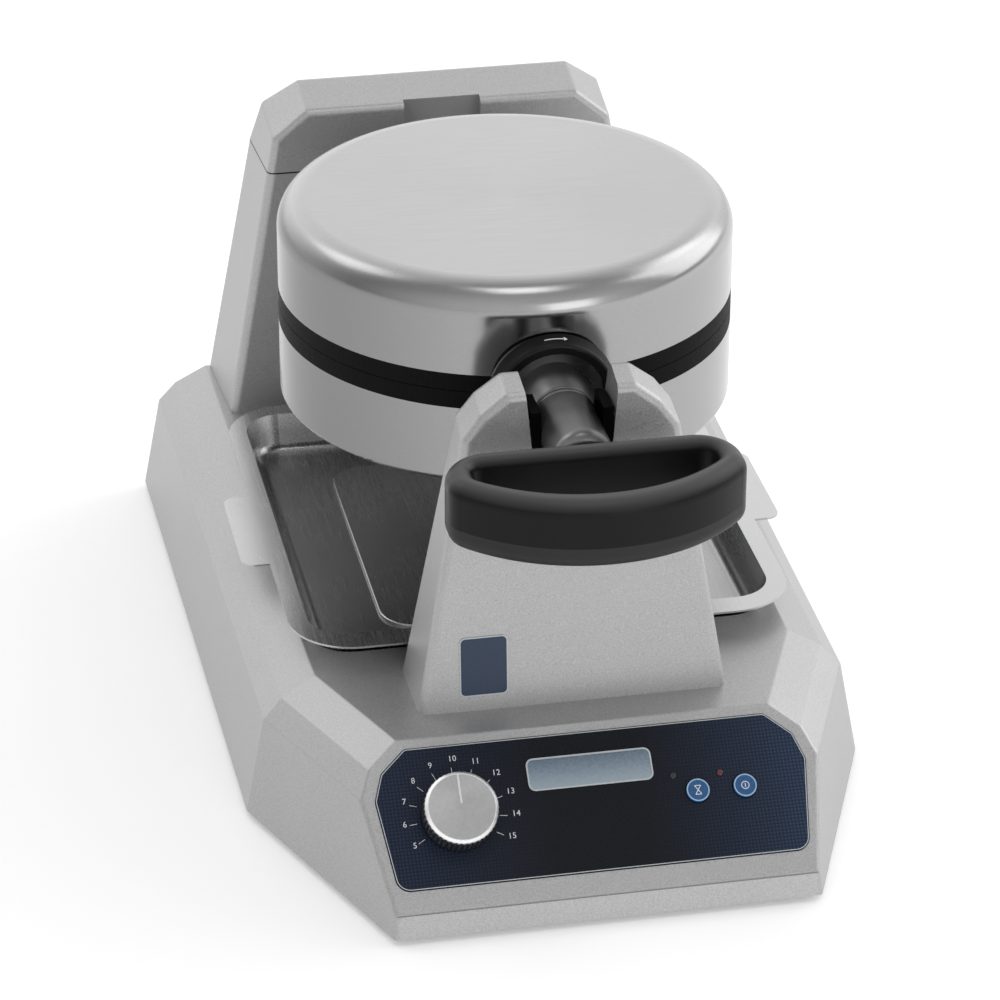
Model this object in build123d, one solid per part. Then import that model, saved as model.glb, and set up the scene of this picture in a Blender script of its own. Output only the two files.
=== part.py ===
from build123d import *
from math import atan2, cos, degrees, radians, sin, sqrt
import os

# Ice cream panini press: a turning round head between a front cradle and a rear tower.
# Millimetres, +X right, +Y towards the tower, +Z up. The origin is on the table, under the
# middle of the base. Depths along the base are counted from the front edge of its skirt.

# Depths along the base: the cradle, the head and the tower stand one behind the other
cradle_depth = 74.7
cradle_thickness = 42.3
cradle_head_gap = 9.7
head_radius = 99.0
head_tower_gap = 43.0
tower_thickness = 56.3
cradle_rear_depth = cradle_depth + cradle_thickness
head_front_depth = cradle_rear_depth + cradle_head_gap
head_depth = head_front_depth + head_radius
head_rear_depth = head_depth + head_radius
tower_depth = head_rear_depth + head_tower_gap
base_length = tower_depth + tower_thickness

# Base housing
front_half_width = 90.0
shoulder_depth = 110.3
shoulder_half_width = 135.0
rear_half_width = 140.0
deck_rise = 60.2
band_rises = (0.0, 43.7, 52.5, deck_rise)
band_insets = (0.0, 8.3, 16.6, 31.5)
skirt_rise = 9.9
skirt_lean = 2.6
panel_slope = 42.65
housing_wall = 3.0
housing_edge = 2.5
skirt_groove = 1.0

# Feet and base plate
foot_rise = 3.0
foot_radius = 11.0
foot_spigot_radius = 4.0
foot_span_x = 176.0
foot_depths = (78.0, base_length - 40.0)
plate_thickness = 1.5
plate_recess = 1.0
plate_edge_gap = 0.6
plate_screw_radius = 2.0
plate_boss_radius = 5.0
plate_screw_places = ((74.0, 66.0), (112.0, 130.0), (118.0, head_depth + 24.3), (118.0, base_length - 24.0))

# Fits
running_fit = 0.06
thread_fit = 0.05
hole_fit = 0.3
seat_gap = 0.2
moving_gap = 0.4

# Control panel, in the slanted face: x across and s up the slope from the skirt
panel_corners = ((86.6, 10.0), (91.3, 49.0), (87.4, 60.3), (76.5, 70.0))
panel_corner_radii = (6.0, 3.0, 3.0, 3.0)
panel_thickness = 1.6
panel_recess = 1.2
knob_place = (-58.0, 39.7)
start_place = (43.4, 39.7)
standby_place = (63.6, 39.7)
ready_light_place = (34.1, 47.2)
power_light_place = (54.0, 46.5)
knob_radius = 15.6
knob_height = 12.0
knob_panel_gap = 1.2
knob_face_radius = 13.9
knob_rim_height = 1.4
knob_flutes = 44
knob_flute_radius = 0.75
pointer_length = 12.4
pointer_width = 0.9
pointer_rise = 0.3
timer_shaft_radius = 3.0
timer_shaft_grip = 8.0
button_radius = 5.0
button_rise = 1.4
button_travel = 0.8
button_stem_radius = 2.5
light_radius = 1.4
light_rise = 0.5

# Control board behind the panel
board_depth = 11.5
board_thickness = 1.6
board_size = (150.0, 40.0)
board_middle = 38.0
board_post_radius = 3.0
board_post_inset = 4.0
pot_size = (17.0, 17.0, 6.0)
switch_size = (6.0, 6.0, 3.4)
switch_stem_radius = 1.6

# Axis of the head, which every height on it is counted from
axis_rise = 180.0

# Front cradle
cradle_half_width = 66.2
cradle_side_lean = 0.168
cradle_front_lean = 0.0826
cradle_rear_lean = 0.0836
cradle_top_rise = axis_rise + 23.8
cradle_top_slope = 11.5
horn_outline = ((45.0, axis_rise + 6.0), (37.8, axis_rise + 15.6), (27.0, cradle_top_rise))
cradle_edge = 4.0
cradle_wall = 4.0
slot_radius = 17.4
slot_mouth_half_width = 20.5
liner_front_depth = cradle_depth + 10.9
liner_rear_depth = cradle_depth + 28.8
liner_top_rise = axis_rise + 11.5
liner_screw_radius = 1.2
cradle_bolt_places = ((46.0, cradle_depth + 11.3), (46.0, cradle_rear_depth - 11.0))

# Head
lid_top_rise = axis_rise + 47.8
lid_corner = 13.4
band_top = 7.9
band_bottom = 8.0
shell_bottom_rise = axis_rise - 42.6
shell_corner = 2.6
shell_wall = 1.5
seam_gap = 0.3
trim_width = 7.0
trim_ledge_width = 14.0
trim_ledge_height = 1.8
trim_spigot_height = 4.0
trim_spigot_width = 2.0

# Plates and what heats them
plate_rim_gap = 0.5
plate_face_gap = 0.2
hollow_radius = 52.0
hollow_depth = 13.5
hollow_floor_radius = 40.0
hollow_wall = 5.0
sealing_ring_radius = 56.0
sealing_ring_width = 3.0
sealing_ring_groove = 0.8
element_ring_radius = head_radius - 26.0
element_tube_radius = 4.0
element_arc = 335.0
insulation_radius = head_radius - 15.0
insulation_thickness = 11.0
thermostat_radius = 8.5
thermostat_height = 7.0
plate_bolt_ring_radius = head_radius - 10.8
plate_bolt_radius = 2.0
plate_bolt_length = 8.0
bolt_head_radius = 3.6
bolt_head_height = 2.4

# Stem, lock collar and keeper
stem_radius = 13.0
stem_front_round = 5.0
stem_bore_radius = 7.0
funnel_narrow_depth = head_front_depth - 21.7
funnel_wide_depth = head_front_depth - 5.9
funnel_wide_radius = 16.5
journal_radius = 21.3
collar_front_depth = head_front_depth - 8.7
collar_rear_depth = head_front_depth - 1.1
collar_front_radius = 25.4
collar_rear_radius = 27.2
collar_edge = 1.8
saddle_radius = 26.2
saddle_front_depth = head_front_depth - 0.7
tongue_width = 12.0
tongue_top_radius = 15.6
stem_screw_radius = 2.0
stem_screw_places = ((-9.0, axis_rise + 16.0), (9.0, axis_rise + 16.0))
stem_screw_length = 6.5
keeper_screw_length = 3.8
keeper_screw_x = 15.0
keeper_screw_rise = axis_rise - 17.5

# Handle, a flat D loop
handle_half_width = 61.0
handle_rear_depth = cradle_depth - 13.7
handle_front_depth = handle_rear_depth - 57.2
handle_front_arc = 78.0
handle_bottom_rise = axis_rise - 18.8
handle_top_rise = axis_rise + 11.0
handle_seam_rise = axis_rise - 8.8
handle_corner = 19.0
handle_front_corner = 12.0
handle_edge = 6.6
grip_half_width = 50.0
grip_front_depth = handle_rear_depth - 44.3
grip_rear_depth = handle_rear_depth - 11.0
grip_front_arc = 70.2
grip_corner = 6.0
grip_edge = 4.5
stem_tenon = (16.0, 8.6, 9.6)
handle_screw_depths = (handle_rear_depth - 5.6, handle_rear_depth - 40.6)
handle_screw_sides = (40.0, 36.0)
handle_screw_places = tuple((side * x, depth) for x, depth in zip(handle_screw_sides, handle_screw_depths)
                            for side in (-1, 1))
handle_screw_radius = 1.75
handle_screw_head_radius = 3.2

# Hinge and rotor at the back of the head
hinge_depth = head_rear_depth + 10.3
hinge_rise = axis_rise + 20.0
hinge_pin_radius = 3.0
knuckle_radius = 7.0
knuckle_half_width = 13.0
ear_thickness = 6.0
ear_gap = 0.35
bracket_half_width = 26.0
bracket_bottom_rise = axis_rise - 37.0
bracket_top_rise = axis_rise - 11.0
web_half_width = 12.0
web_top_rise = axis_rise + 8.0
bracket_foot_thickness = 5.0
rotor_boss_radius = 17.0
rotor_boss_front_depth = head_rear_depth + 19.8
rotor_boss_rear_depth = head_rear_depth + 31.3
rotor_radius = 14.0
rotor_bore_radius = 9.0
rotor_end_depth = tower_depth + 36.8
arm_plate_thickness = 2.7
arm_half_width = 20.0
arm_plate_rises = (axis_rise + 10.5, axis_rise + 39.0)
arm_screw_places = ((-14.0, axis_rise + 32.5), (14.0, axis_rise + 32.5))
bracket_bolt_places = tuple((x, axis_rise - drop) for drop in (30.5, 17.5) for x in (-20.0, 20.0))

# Tower and its cap
tower_half_width = 103.5
tower_side_lean = 0.1745
tower_plan_lean = 0.0546
tower_front_lean = 0.0273
tower_rear_lean = 0.058
tower_seam_rise = axis_rise + 1.0
tower_wall = 3.5
tower_edge = 4.0
cap_front_top_rise = axis_rise + 30.5
cap_ridge_depth = tower_depth + 32.3
cap_ridge_rise = axis_rise + 36.0
cap_chamfer = ((81.0, axis_rise + 16.6), (63.5, axis_rise + 31.0))
cap_edge = 3.5
notch_half_width = 18.0
notch_depth = 5.0
notch_wall = 2.0
tower_bolt_places = ((84.0, tower_depth + 14.3), (84.0, base_length - 16.0))
cap_screw_places = ((66.0, tower_depth + 11.3), (66.0, base_length - 20.0))

# Bearing pedestal inside the tower
pedestal_half_width = 32.0
pedestal_depths = (tower_depth + 17.3, tower_depth + 31.3)
pedestal_leg_width = 14.0
pedestal_head_rise = axis_rise - 28.0
pedestal_top_margin = 7.0
bush_wall = 3.0
bush_flange = 4.0
bush_flange_thickness = 2.0
ring_groove_depth = 1.2
ring_thickness = 2.0
ring_width = 4.0
stop_pin_radius = 1.75
stop_pin_gap = 0.5
stop_pin_reach = 27.0
stop_lug_width = 6.0
deck_bolt_radius = 2.5
bolt_boss_radius = 6.5
bolt_boss_height = 14.0

# Drip tray
tray_flange_rise = 70.0
tray_thickness = 0.9
tray_half_width = 110.0
tray_depths = (cradle_rear_depth + 3.0, tower_depth - 14.7)
tray_corner = 28.0
well_half_width = 102.5
well_depths = (tray_depths[0] + 11.0, tray_depths[1] - 8.0)
well_corner = 18.0
well_floor_rise = 53.5
well_draft = 5.5
pan_floor_corner = 5.0
tab_reach = 12.0
tab_depths = (head_depth - 25.7, head_depth + 39.3)
tab_corner = 6.0
tray_panel_half_width = 66.0
tray_panel_depths = (tray_depths[0] + 40.0, tray_depths[1] - 39.0)
tray_panel_rise = 1.6
tray_panel_corner = 16.0
pocket_gap = 1.2

# Power side of the base
power_board_size = (120.0, 80.0, 1.6)
power_board_middle = (-20.0, head_depth + 24.3)
power_board_post = 6.0
relay_size = (28.0, 22.0, 24.0)
terminal_size = (44.0, 18.0, 16.0)
terminal_middle = (62.0, tower_depth - 37.7)
gland_place = (78.0, 28.0)
gland_radius = 9.0
gland_bore_radius = 4.0
gland_recess_radius = 15.0
gland_recess_depth = 9.0
wiring_hole_radius = 9.0

# Values that follow from the ones above
axis_height = axis_rise + foot_rise
slope_sin = sin(radians(panel_slope))
slope_cos = cos(radians(panel_slope))
liner_bore_radius = stem_radius + running_fit
bush_bore_radius = rotor_radius + running_fit
bush_radius = rotor_radius + bush_wall
plate_radius = head_radius - trim_width - plate_rim_gap
head_y = head_depth - base_length / 2


def back(depth):
    """Row-frame y of a depth counted from the front edge of the skirt."""
    return depth - base_length / 2


def up(rise):
    """Row-frame z of a height counted from the bottom of the skirt."""
    return rise + foot_rise


def block(x0, x1, depth0, depth1, rise0, rise1):
    """Box between two x values, two depths and two heights over the skirt's bottom."""
    centre = Pos((x0 + x1) / 2, back((depth0 + depth1) / 2), up((rise0 + rise1) / 2))
    return centre * Box(x1 - x0, depth1 - depth0, rise1 - rise0)


def along_y(radius, depth0, depth1, x=0.0, rise=axis_rise):
    """Cylinder along Y between two depths."""
    centre = Pos(x, back((depth0 + depth1) / 2), up(rise))
    return centre * Rot(90, 0, 0) * Cylinder(radius, depth1 - depth0)


def cone_along_y(radius0, radius1, depth0, depth1, rise=axis_rise):
    """Cone along Y, radius0 at the first depth and radius1 at the second."""
    centre = Pos(0, back((depth0 + depth1) / 2), up(rise))
    return centre * Rot(-90, 0, 0) * Cone(radius0, radius1, depth1 - depth0)


def upright(radius, x, depth, rise0, rise1):
    """Cylinder along Z between two heights over the skirt's bottom."""
    return Pos(x, back(depth), up((rise0 + rise1) / 2)) * Cylinder(radius, rise1 - rise0)


def along_x(radius, x0, x1, depth, rise):
    """Cylinder along X between two x values."""
    return Pos((x0 + x1) / 2, back(depth), up(rise)) * Rot(0, 90, 0) * Cylinder(radius, x1 - x0)


def keep_behind(shape, point, normal, inset=0.0):
    """The part of a shape behind a plane, the plane moved inward by an inset."""
    direction = Vector(*normal).normalized()
    origin = Vector(*point) - direction * inset
    return split(shape, bisect_by=Plane(origin=origin, z_dir=direction), keep=Keep.BOTTOM)


def both_sides(shape):
    """A shape and its mirror image across the middle plane, as one shape."""
    return shape + mirror(shape, about=Plane.YZ)


def twins(places, make):
    """One solid for each place, and its mirror image across the middle plane."""
    pieces = []
    for x, depth in places:
        pieces.append(make(x, depth))
        pieces.append(make(-x, depth))
    return pieces


def group(pieces):
    """Separate solids that share one node."""
    solids = []
    for piece in pieces:
        solids.extend(piece.solids())
    return Compound(children=solids)


def one(shape):
    """The single solid of a shape."""
    solids = shape.solids()
    assert len(solids) == 1, f"expected one solid, found {len(solids)}"
    return solids[0]


def screw(radius, head_radius, head_height, length):
    """Pan-head screw along Z: its head sits above z = 0 and its shank goes below."""
    head = Pos(0, 0, head_height / 2) * Cylinder(head_radius, head_height)
    head = fillet(head.edges().group_by(Axis.Z)[-1], head_height * 0.4)
    drive = Pos(0, 0, head_height) * Box(head_radius, head_radius * 0.25, head_height * 0.6)
    shank = Pos(0, 0, -length / 2) * Cylinder(radius, length)
    return head - drive - Rot(0, 0, 90) * drive + shank


# Base housing

def base_body(inset=0.0, bottom=0.0):
    """The housing's outer body, or the same body with every wall moved inward."""
    half_width = rear_half_width
    body = block(-half_width, half_width, 0, base_length, bottom, deck_rise - inset)
    rear = (0, back(base_length), up(0))
    body = keep_behind(body, rear, (0, 1, 0), inset)
    front = (0, back(0), up(0))
    body = keep_behind(body, front, (0, -skirt_rise, skirt_lean), inset)
    crest = (0, back(skirt_lean), up(skirt_rise))
    body = keep_behind(body, crest, (0, -slope_sin, slope_cos), inset)
    shoulder = (shoulder_half_width, shoulder_depth)
    walls = (((front_half_width, 0.0), shoulder), (shoulder, (rear_half_width, base_length)))
    for start, end in walls:
        run = Vector(end[0] - start[0], end[1] - start[1], 0).normalized()
        outward = Vector(run.Y, -run.X, 0)
        bands = zip(band_rises, band_insets, band_rises[1:], band_insets[1:])
        for low, low_inset, high, high_inset in bands:
            point = Vector(start[0], back(start[1]), up(low)) - outward * low_inset
            normal = outward * (high - low) + Vector(0, 0, high_inset - low_inset)
            for side in (1, -1):
                place = (side * point.X, point.Y, point.Z)
                direction = (side * normal.X, normal.Y, normal.Z)
                body = keep_behind(body, place, direction, inset)
    return body


def panel_plane(lift=0.0):
    """Plane of the slanted face, x across and y up the slope, moved outward by a lift."""
    origin = Vector(0, back(skirt_lean), up(skirt_rise))
    normal = Vector(0, -slope_sin, slope_cos)
    return Plane(origin=origin + normal * lift, x_dir=(1, 0, 0), z_dir=normal)


def on_panel(place, lift=0.0):
    """Location on the slanted face at (x, s), its z axis pointing out of the face."""
    return panel_plane(lift).location * Pos(place[0], place[1], 0)


def panel_pin(place, radius, low, high):
    """Cylinder square to the slanted face, between two heights over it."""
    return on_panel(place, (low + high) / 2) * Cylinder(radius, high - low)


def panel_box(place, size, low):
    """Box square to the slanted face, standing on a height over it."""
    return on_panel(place, low + size[2] / 2) * Box(*size)


def panel_outline(margin=0.0):
    """Outline of the control panel, widened by a margin."""
    right = [Vector(x, s) for x, s in panel_corners]
    left = [Vector(-x, s) for x, s in reversed(panel_corners)]
    outline = make_face(Polyline(*right, *left, close=True))
    radii = list(zip(panel_corners, panel_corner_radii))
    for (x, s), radius in radii:
        for side in (1, -1):
            corner = outline.vertices().sort_by_distance(Vector(side * x, s))[0]
            outline = fillet(corner, radius)
    if margin:
        outline = offset(outline, amount=margin)
    return outline


def panel_slab(low, high, margin=0.0):
    """The panel's outline as a slab between two heights over the slanted face."""
    return extrude(panel_plane(low) * panel_outline(margin), amount=high - low)


def rounded_slab(half_width, depths, corner, rise0, rise1, draft=0.0):
    """Upright rounded slab, its foot narrower by the draft on every side."""
    width = 2 * half_width
    length = depths[1] - depths[0]
    middle = back(sum(depths) / 2)
    top = Pos(0, middle, up(rise1)) * RectangleRounded(width, length, corner)
    if not draft:
        return extrude(top, amount=rise0 - rise1)
    foot_corner = max(corner - draft / 2, 1.0)
    foot = RectangleRounded(width - 2 * draft, length - 2 * draft, foot_corner)
    return loft([Pos(0, middle, up(rise0)) * foot, top])


def deck_pocket(margin=0.0, floor_margin=0.0):
    """The recess in the deck that takes the well of the drip tray."""
    share = (deck_rise - well_floor_rise) / (tray_flange_rise - well_floor_rise)
    pinch = well_draft * (1 - share) - pocket_gap - margin
    half_width = well_half_width - pinch
    depths = (well_depths[0] + pinch, well_depths[1] - pinch)
    floor = well_floor_rise - tray_thickness - seat_gap - floor_margin
    return rounded_slab(half_width, depths, well_corner, floor, deck_rise + 1)


def make_base_housing():
    outer = base_body()
    edges = outer.edges().filter_by(lambda edge: edge.center().Z > up(0.5))
    outer = fillet(edges, housing_edge)
    cavity = base_body(housing_wall, bottom=-1.0)
    cavity -= deck_pocket(housing_wall, housing_wall)
    gland_x, gland_rise = gland_place
    recess_wall = gland_recess_radius + housing_wall
    recess_floor = base_length - gland_recess_depth - housing_wall
    cavity -= along_y(recess_wall, recess_floor, base_length, gland_x, gland_rise)
    ceiling = deck_rise - housing_wall
    plate_top = plate_recess + plate_thickness
    boss = lambda x, depth: upright(plate_boss_radius, x, depth, plate_top, ceiling)
    for piece in twins(plate_screw_places, boss):
        cavity -= piece
    post_low = -board_depth
    for x in (-1, 1):
        place = (x * (board_size[0] / 2 - board_post_inset), board_middle)
        cavity -= panel_pin(place, board_post_radius, post_low, 0)
    housing = outer - cavity - deck_pocket()
    housing -= panel_slab(-panel_recess, housing_wall, hole_fit)
    half_groove = skirt_groove / 2
    crest = block(-rear_half_width, rear_half_width, skirt_lean - half_groove, skirt_lean + half_groove,
                  skirt_rise - half_groove, skirt_rise + half_groove)
    housing -= crest
    through = -housing_wall - 1
    housing -= panel_pin(knob_place, timer_shaft_radius + 2, through, 1)
    for place in (start_place, standby_place):
        housing -= panel_pin(place, button_radius + 1, through, 1)
    for place in (ready_light_place, power_light_place):
        housing -= panel_pin(place, light_radius + 0.6, through, 1)
    pilot = plate_screw_radius + thread_fit
    for x, depth in plate_screw_places:
        housing -= both_sides(upright(pilot, x, depth, plate_top - 1, plate_top + 12))
    recess_front = base_length - gland_recess_depth
    housing -= along_y(gland_recess_radius, recess_front, base_length + 1, gland_x, gland_rise)
    gland_hole = gland_radius - 2 + hole_fit
    housing -= along_y(gland_hole, recess_front - housing_wall - 1, base_length, gland_x, gland_rise)
    for x, depth in tower_bolt_places + cradle_bolt_places:
        hole = upright(deck_bolt_radius + hole_fit, x, depth, deck_rise - housing_wall - 3, deck_rise + 1)
        housing -= both_sides(hole)
    pedestal_bolts = pedestal_bolt_place()
    housing -= both_sides(upright(deck_bolt_radius + hole_fit, *pedestal_bolts, deck_rise - 6, deck_rise + 1))
    housing -= upright(wiring_hole_radius, 0, sum(pedestal_depths) / 2, deck_rise - 6, deck_rise + 1)
    return one(housing)


def make_base_plate():
    top = plate_recess + plate_thickness
    sheet = base_body(housing_wall + plate_edge_gap, bottom=-1.0)
    sheet = keep_behind(sheet, (0, 0, up(top)), (0, 0, 1))
    sheet = keep_behind(sheet, (0, 0, up(plate_recess)), (0, 0, -1))
    for x, depth in plate_screw_places:
        sheet -= both_sides(upright(plate_screw_radius + hole_fit, x, depth, 0, top + 1))
    for depth in foot_depths:
        sheet -= both_sides(upright(foot_spigot_radius, foot_span_x / 2, depth, 0, top + 1))
    for x, depth in power_board_posts():
        sheet += upright(3.5, x, depth, top, top + power_board_post)
    return one(sheet)


def make_base_plate_screws():
    def place(x, depth):
        body = screw(plate_screw_radius, bolt_head_radius, plate_recess - 0.1, 9.0)
        return Pos(x, back(depth), up(plate_recess)) * Rot(180, 0, 0) * body
    return group(twins(plate_screw_places, place))


def make_rubber_feet():
    def place(x, depth):
        pad = upright(foot_radius, x, depth, -foot_rise, plate_recess)
        pad = fillet(pad.edges().group_by(Axis.Z)[0], 1.0)
        spigot_top = plate_recess + plate_thickness + 2
        barb = upright(foot_spigot_radius + 1, x, depth, spigot_top - 2, spigot_top)
        return pad + upright(foot_spigot_radius, x, depth, 0, spigot_top) + barb
    places = [(foot_span_x / 2, depth) for depth in foot_depths]
    return group(twins(places, place))


# Control panel and what is behind it

def make_control_panel():
    panel = panel_slab(-panel_recess, panel_thickness - panel_recess)
    panel -= panel_pin(knob_place, timer_shaft_radius + 1.5, -3, 3)
    for place in (start_place, standby_place):
        panel -= panel_pin(place, button_radius + hole_fit, -3, 3)
    for place in (ready_light_place, power_light_place):
        panel -= panel_pin(place, light_radius + 0.1, -3, 3)
    return one(panel)


def make_control_board():
    sheet = panel_box((0, board_middle), (*board_size, board_thickness), -board_depth - board_thickness)
    return one(sheet)


def make_timer_potentiometer():
    body = panel_box(knob_place, pot_size, -board_depth)
    collar = panel_pin(knob_place, timer_shaft_radius + 1.6, pot_size[2] - board_depth, -housing_wall + 0.5)
    bore = panel_pin(knob_place, timer_shaft_radius + running_fit, -board_depth + 1.5, 0)
    return one(body + collar - bore)


def switch_top():
    """Height over the face of a tact switch's stem, clear of a pressed button."""
    return -board_depth + switch_size[2] + 1.2


def make_tact_switches():
    pieces = []
    for place in (start_place, standby_place):
        body = panel_box(place, switch_size, -board_depth)
        body += panel_pin(place, switch_stem_radius, -board_depth, switch_top())
        pieces.append(body)
    return group(pieces)


def make_light(place):
    top = panel_thickness - panel_recess + light_rise
    pipe = panel_pin(place, light_radius, -board_depth, top)
    return one(fillet(pipe.edges().sort_by_distance(on_panel(place, top).position)[0], light_rise))


def knob_base():
    """Height over the slanted face at which the knob begins."""
    return panel_thickness - panel_recess + knob_panel_gap


def make_timer_knob():
    low = knob_base()
    body = panel_pin(knob_place, knob_radius, low, low + knob_height)
    top_edge = body.edges().sort_by_distance(on_panel(knob_place, low + knob_height).position)[0]
    body = chamfer(top_edge, knob_radius - knob_face_radius, knob_rim_height)
    body -= panel_pin(knob_place, timer_shaft_radius, low - 1, low + timer_shaft_grip)
    flutes = []
    for number in range(knob_flutes):
        angle = radians(360 * number / knob_flutes)
        x = knob_place[0] + (knob_radius + 0.35) * cos(angle)
        s = knob_place[1] + (knob_radius + 0.35) * sin(angle)
        flutes.append(panel_pin((x, s), knob_flute_radius, low - 1, low + knob_height + 1))
    body -= Part() + flutes
    body -= pointer_bar()
    return one(body)


def pointer_bar():
    """The bar of the pointer line, from near the knob's middle to its rim."""
    top = knob_base() + knob_height
    middle = (knob_place[0], knob_place[1] + knob_face_radius - pointer_length / 2)
    return panel_box(middle, (pointer_width, pointer_length, 2 * pointer_rise), top - pointer_rise)


def make_knob_pointer():
    return one(pointer_bar())


def make_timer_shaft():
    low = -board_depth + 2.0
    return one(panel_pin(knob_place, timer_shaft_radius, low, knob_base() + timer_shaft_grip))


def make_button(place):
    face = panel_thickness - panel_recess
    cap = panel_pin(place, button_radius, -housing_wall + 0.2, face + button_rise)
    top = on_panel(place, face + button_rise).position
    cap = fillet(cap.edges().sort_by_distance(top)[0], 0.5)
    stem_low = switch_top() + button_travel + 0.15
    return one(cap + panel_pin(place, button_stem_radius, stem_low, 0))


# Front cradle

def cradle_section(rise):
    """Front depth, rear depth and half width of the cradle at a height."""
    lift = rise - deck_rise
    front = cradle_depth + cradle_front_lean * lift
    rear = cradle_rear_depth - cradle_rear_lean * lift
    return front, rear, cradle_half_width - cradle_side_lean * lift


def cradle_body(inset=0.0):
    """The tapering pedestal with its rounded-off horns, every wall moved inward."""
    low = deck_rise - (1 if inset else 0)
    half = cradle_half_width + 1
    body = block(-half, half, cradle_depth - 1, cradle_rear_depth + 1, low, cradle_top_rise + 6)
    front, rear, width = cradle_section(deck_rise)
    base = up(deck_rise)
    body = keep_behind(body, (0, back(front), base), (0, -1, cradle_front_lean), inset)
    body = keep_behind(body, (0, back(rear), base), (0, 1, cradle_rear_lean), inset)
    top_rear = cradle_section(cradle_top_rise)[1]
    tilt = radians(cradle_top_slope)
    body = keep_behind(body, (0, back(top_rear), up(cradle_top_rise)), (0, -sin(tilt), cos(tilt)), inset)
    for side in (1, -1):
        body = keep_behind(body, (side * width, 0, base), (side, 0, cradle_side_lean), inset)
        for low_point, high_point in zip(horn_outline, horn_outline[1:]):
            across = low_point[0] - high_point[0]
            rise = high_point[1] - low_point[1]
            rear_y = back(cradle_section(low_point[1])[1])
            normal = (side * rise, -across * sin(tilt), across * cos(tilt))
            body = keep_behind(body, (side * low_point[0], rear_y, up(low_point[1])), normal, inset)
    return body


def cradle_slot(margin=0.0):
    """The open U at the top of the cradle, flaring a little towards its mouth."""
    radius = slot_radius + margin
    mouth = slot_mouth_half_width + margin
    depths = (cradle_depth - 5, cradle_rear_depth + 5)
    floor = along_y(radius, *depths)
    rise0 = up(axis_rise)
    rise1 = up(cradle_top_rise + 10)
    corners = [(-radius, rise0), (radius, rise0), (mouth, rise1), (-mouth, rise1)]
    outline = make_face(Polyline(*corners, close=True))
    plane = Plane(origin=(0, back(depths[0]), 0), x_dir=(1, 0, 0), z_dir=(0, -1, 0))
    throat = extrude(plane * outline, amount=-(depths[1] - depths[0]))
    return floor + throat


def make_front_cradle():
    body = cradle_body()
    edges = body.edges().filter_by(lambda edge: edge.center().Z > up(deck_rise + 1))
    body = fillet(edges, cradle_edge)
    body -= cradle_slot()
    hollow = cradle_body(cradle_wall) - cradle_slot(cradle_wall)
    hollow = keep_behind(hollow, (0, 0, up(axis_rise - slot_radius - cradle_wall)), (0, 0, 1))
    for x, depth in cradle_bolt_places:
        hollow -= both_sides(bolt_boss(x, depth, cradle_half_width))
    body -= hollow
    for x, depth in cradle_bolt_places:
        body -= both_sides(upright(deck_bolt_radius + thread_fit, x, depth, deck_rise - 1, deck_rise + 11))
    for place in liner_screw_places():
        body -= along_x(liner_screw_radius + thread_fit, *liner_screw_reach(place), *place[1:])
    return one(body)


def liner_screw_places():
    """Side, depth and height of each small screw of the bearing liner."""
    middle = (liner_front_depth + liner_rear_depth) / 2
    rise = (axis_rise + liner_top_rise) / 2
    return [(side, middle + shift, rise) for side in (-1, 1) for shift in (-5, 5)]


def liner_screw_reach(place):
    """The x span of a liner screw, from inside the liner into the horn."""
    inner = place[0] * (liner_bore_radius + 2.2)
    outer = place[0] * (slot_radius + 5)
    return min(inner, outer), max(inner, outer)


def make_cradle_bearing():
    depths = (liner_front_depth, liner_rear_depth)
    outer = slot_radius - running_fit
    body = keep_behind(along_y(outer, *depths), (0, 0, axis_height), (0, 0, 1))
    body += block(-outer, outer, *depths, axis_rise, liner_top_rise)
    body -= along_y(liner_bore_radius, depths[0] - 1, depths[1] + 1)
    body -= block(-liner_bore_radius, liner_bore_radius, depths[0] - 1, depths[1] + 1,
                  axis_rise, liner_top_rise + 1)
    for place in liner_screw_places():
        start, end = liner_screw_reach(place)
        body -= along_x(liner_screw_radius + thread_fit, start - 3, end, *place[1:])
        inner = liner_bore_radius + 2.2
        head = (liner_bore_radius - 1, inner) if place[0] > 0 else (-inner, -liner_bore_radius + 1)
        body -= along_x(liner_screw_radius + 1.1, *head, *place[1:])
    return one(body)


def make_bearing_screws():
    pieces = []
    for place in liner_screw_places():
        inner = liner_bore_radius + 2.2
        shank = along_x(liner_screw_radius, *liner_screw_reach(place), *place[1:])
        head = (inner - 1.4, inner) if place[0] > 0 else (-inner, 1.4 - inner)
        pieces.append(shank + along_x(liner_screw_radius + 1.0, *head, *place[1:]))
    return group(pieces)


def deck_bolt(x, depth, reach=10.0):
    """Bolt from under the deck, its head inside the housing."""
    body = screw(deck_bolt_radius, 4.2, 3.0, reach + housing_wall)
    return Pos(x, back(depth), up(deck_rise - housing_wall)) * Rot(180, 0, 0) * body


def bolt_boss(x, depth, wall_x):
    """Boss over the deck for a bolt from below, with a rib out to the wall beside it."""
    boss = upright(bolt_boss_radius, x, depth, deck_rise - 2, deck_rise + bolt_boss_height)
    rib = block(x, wall_x, depth - 2, depth + 2, deck_rise - 2, deck_rise + bolt_boss_height)
    return boss + rib


def make_cradle_bolts():
    return group(twins(cradle_bolt_places, deck_bolt))


# Tower and cap

def tower_sides(body, inset):
    """Cut a body to the tower's leaning sides and front."""
    for side in (1, -1):
        foot = (side * tower_half_width, back(tower_depth), up(deck_rise))
        body = keep_behind(body, foot, (side, -tower_plan_lean, tower_side_lean), inset)
    foot = (0, back(tower_depth), up(deck_rise))
    return keep_behind(body, foot, (0, -1, tower_front_lean), inset)


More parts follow.
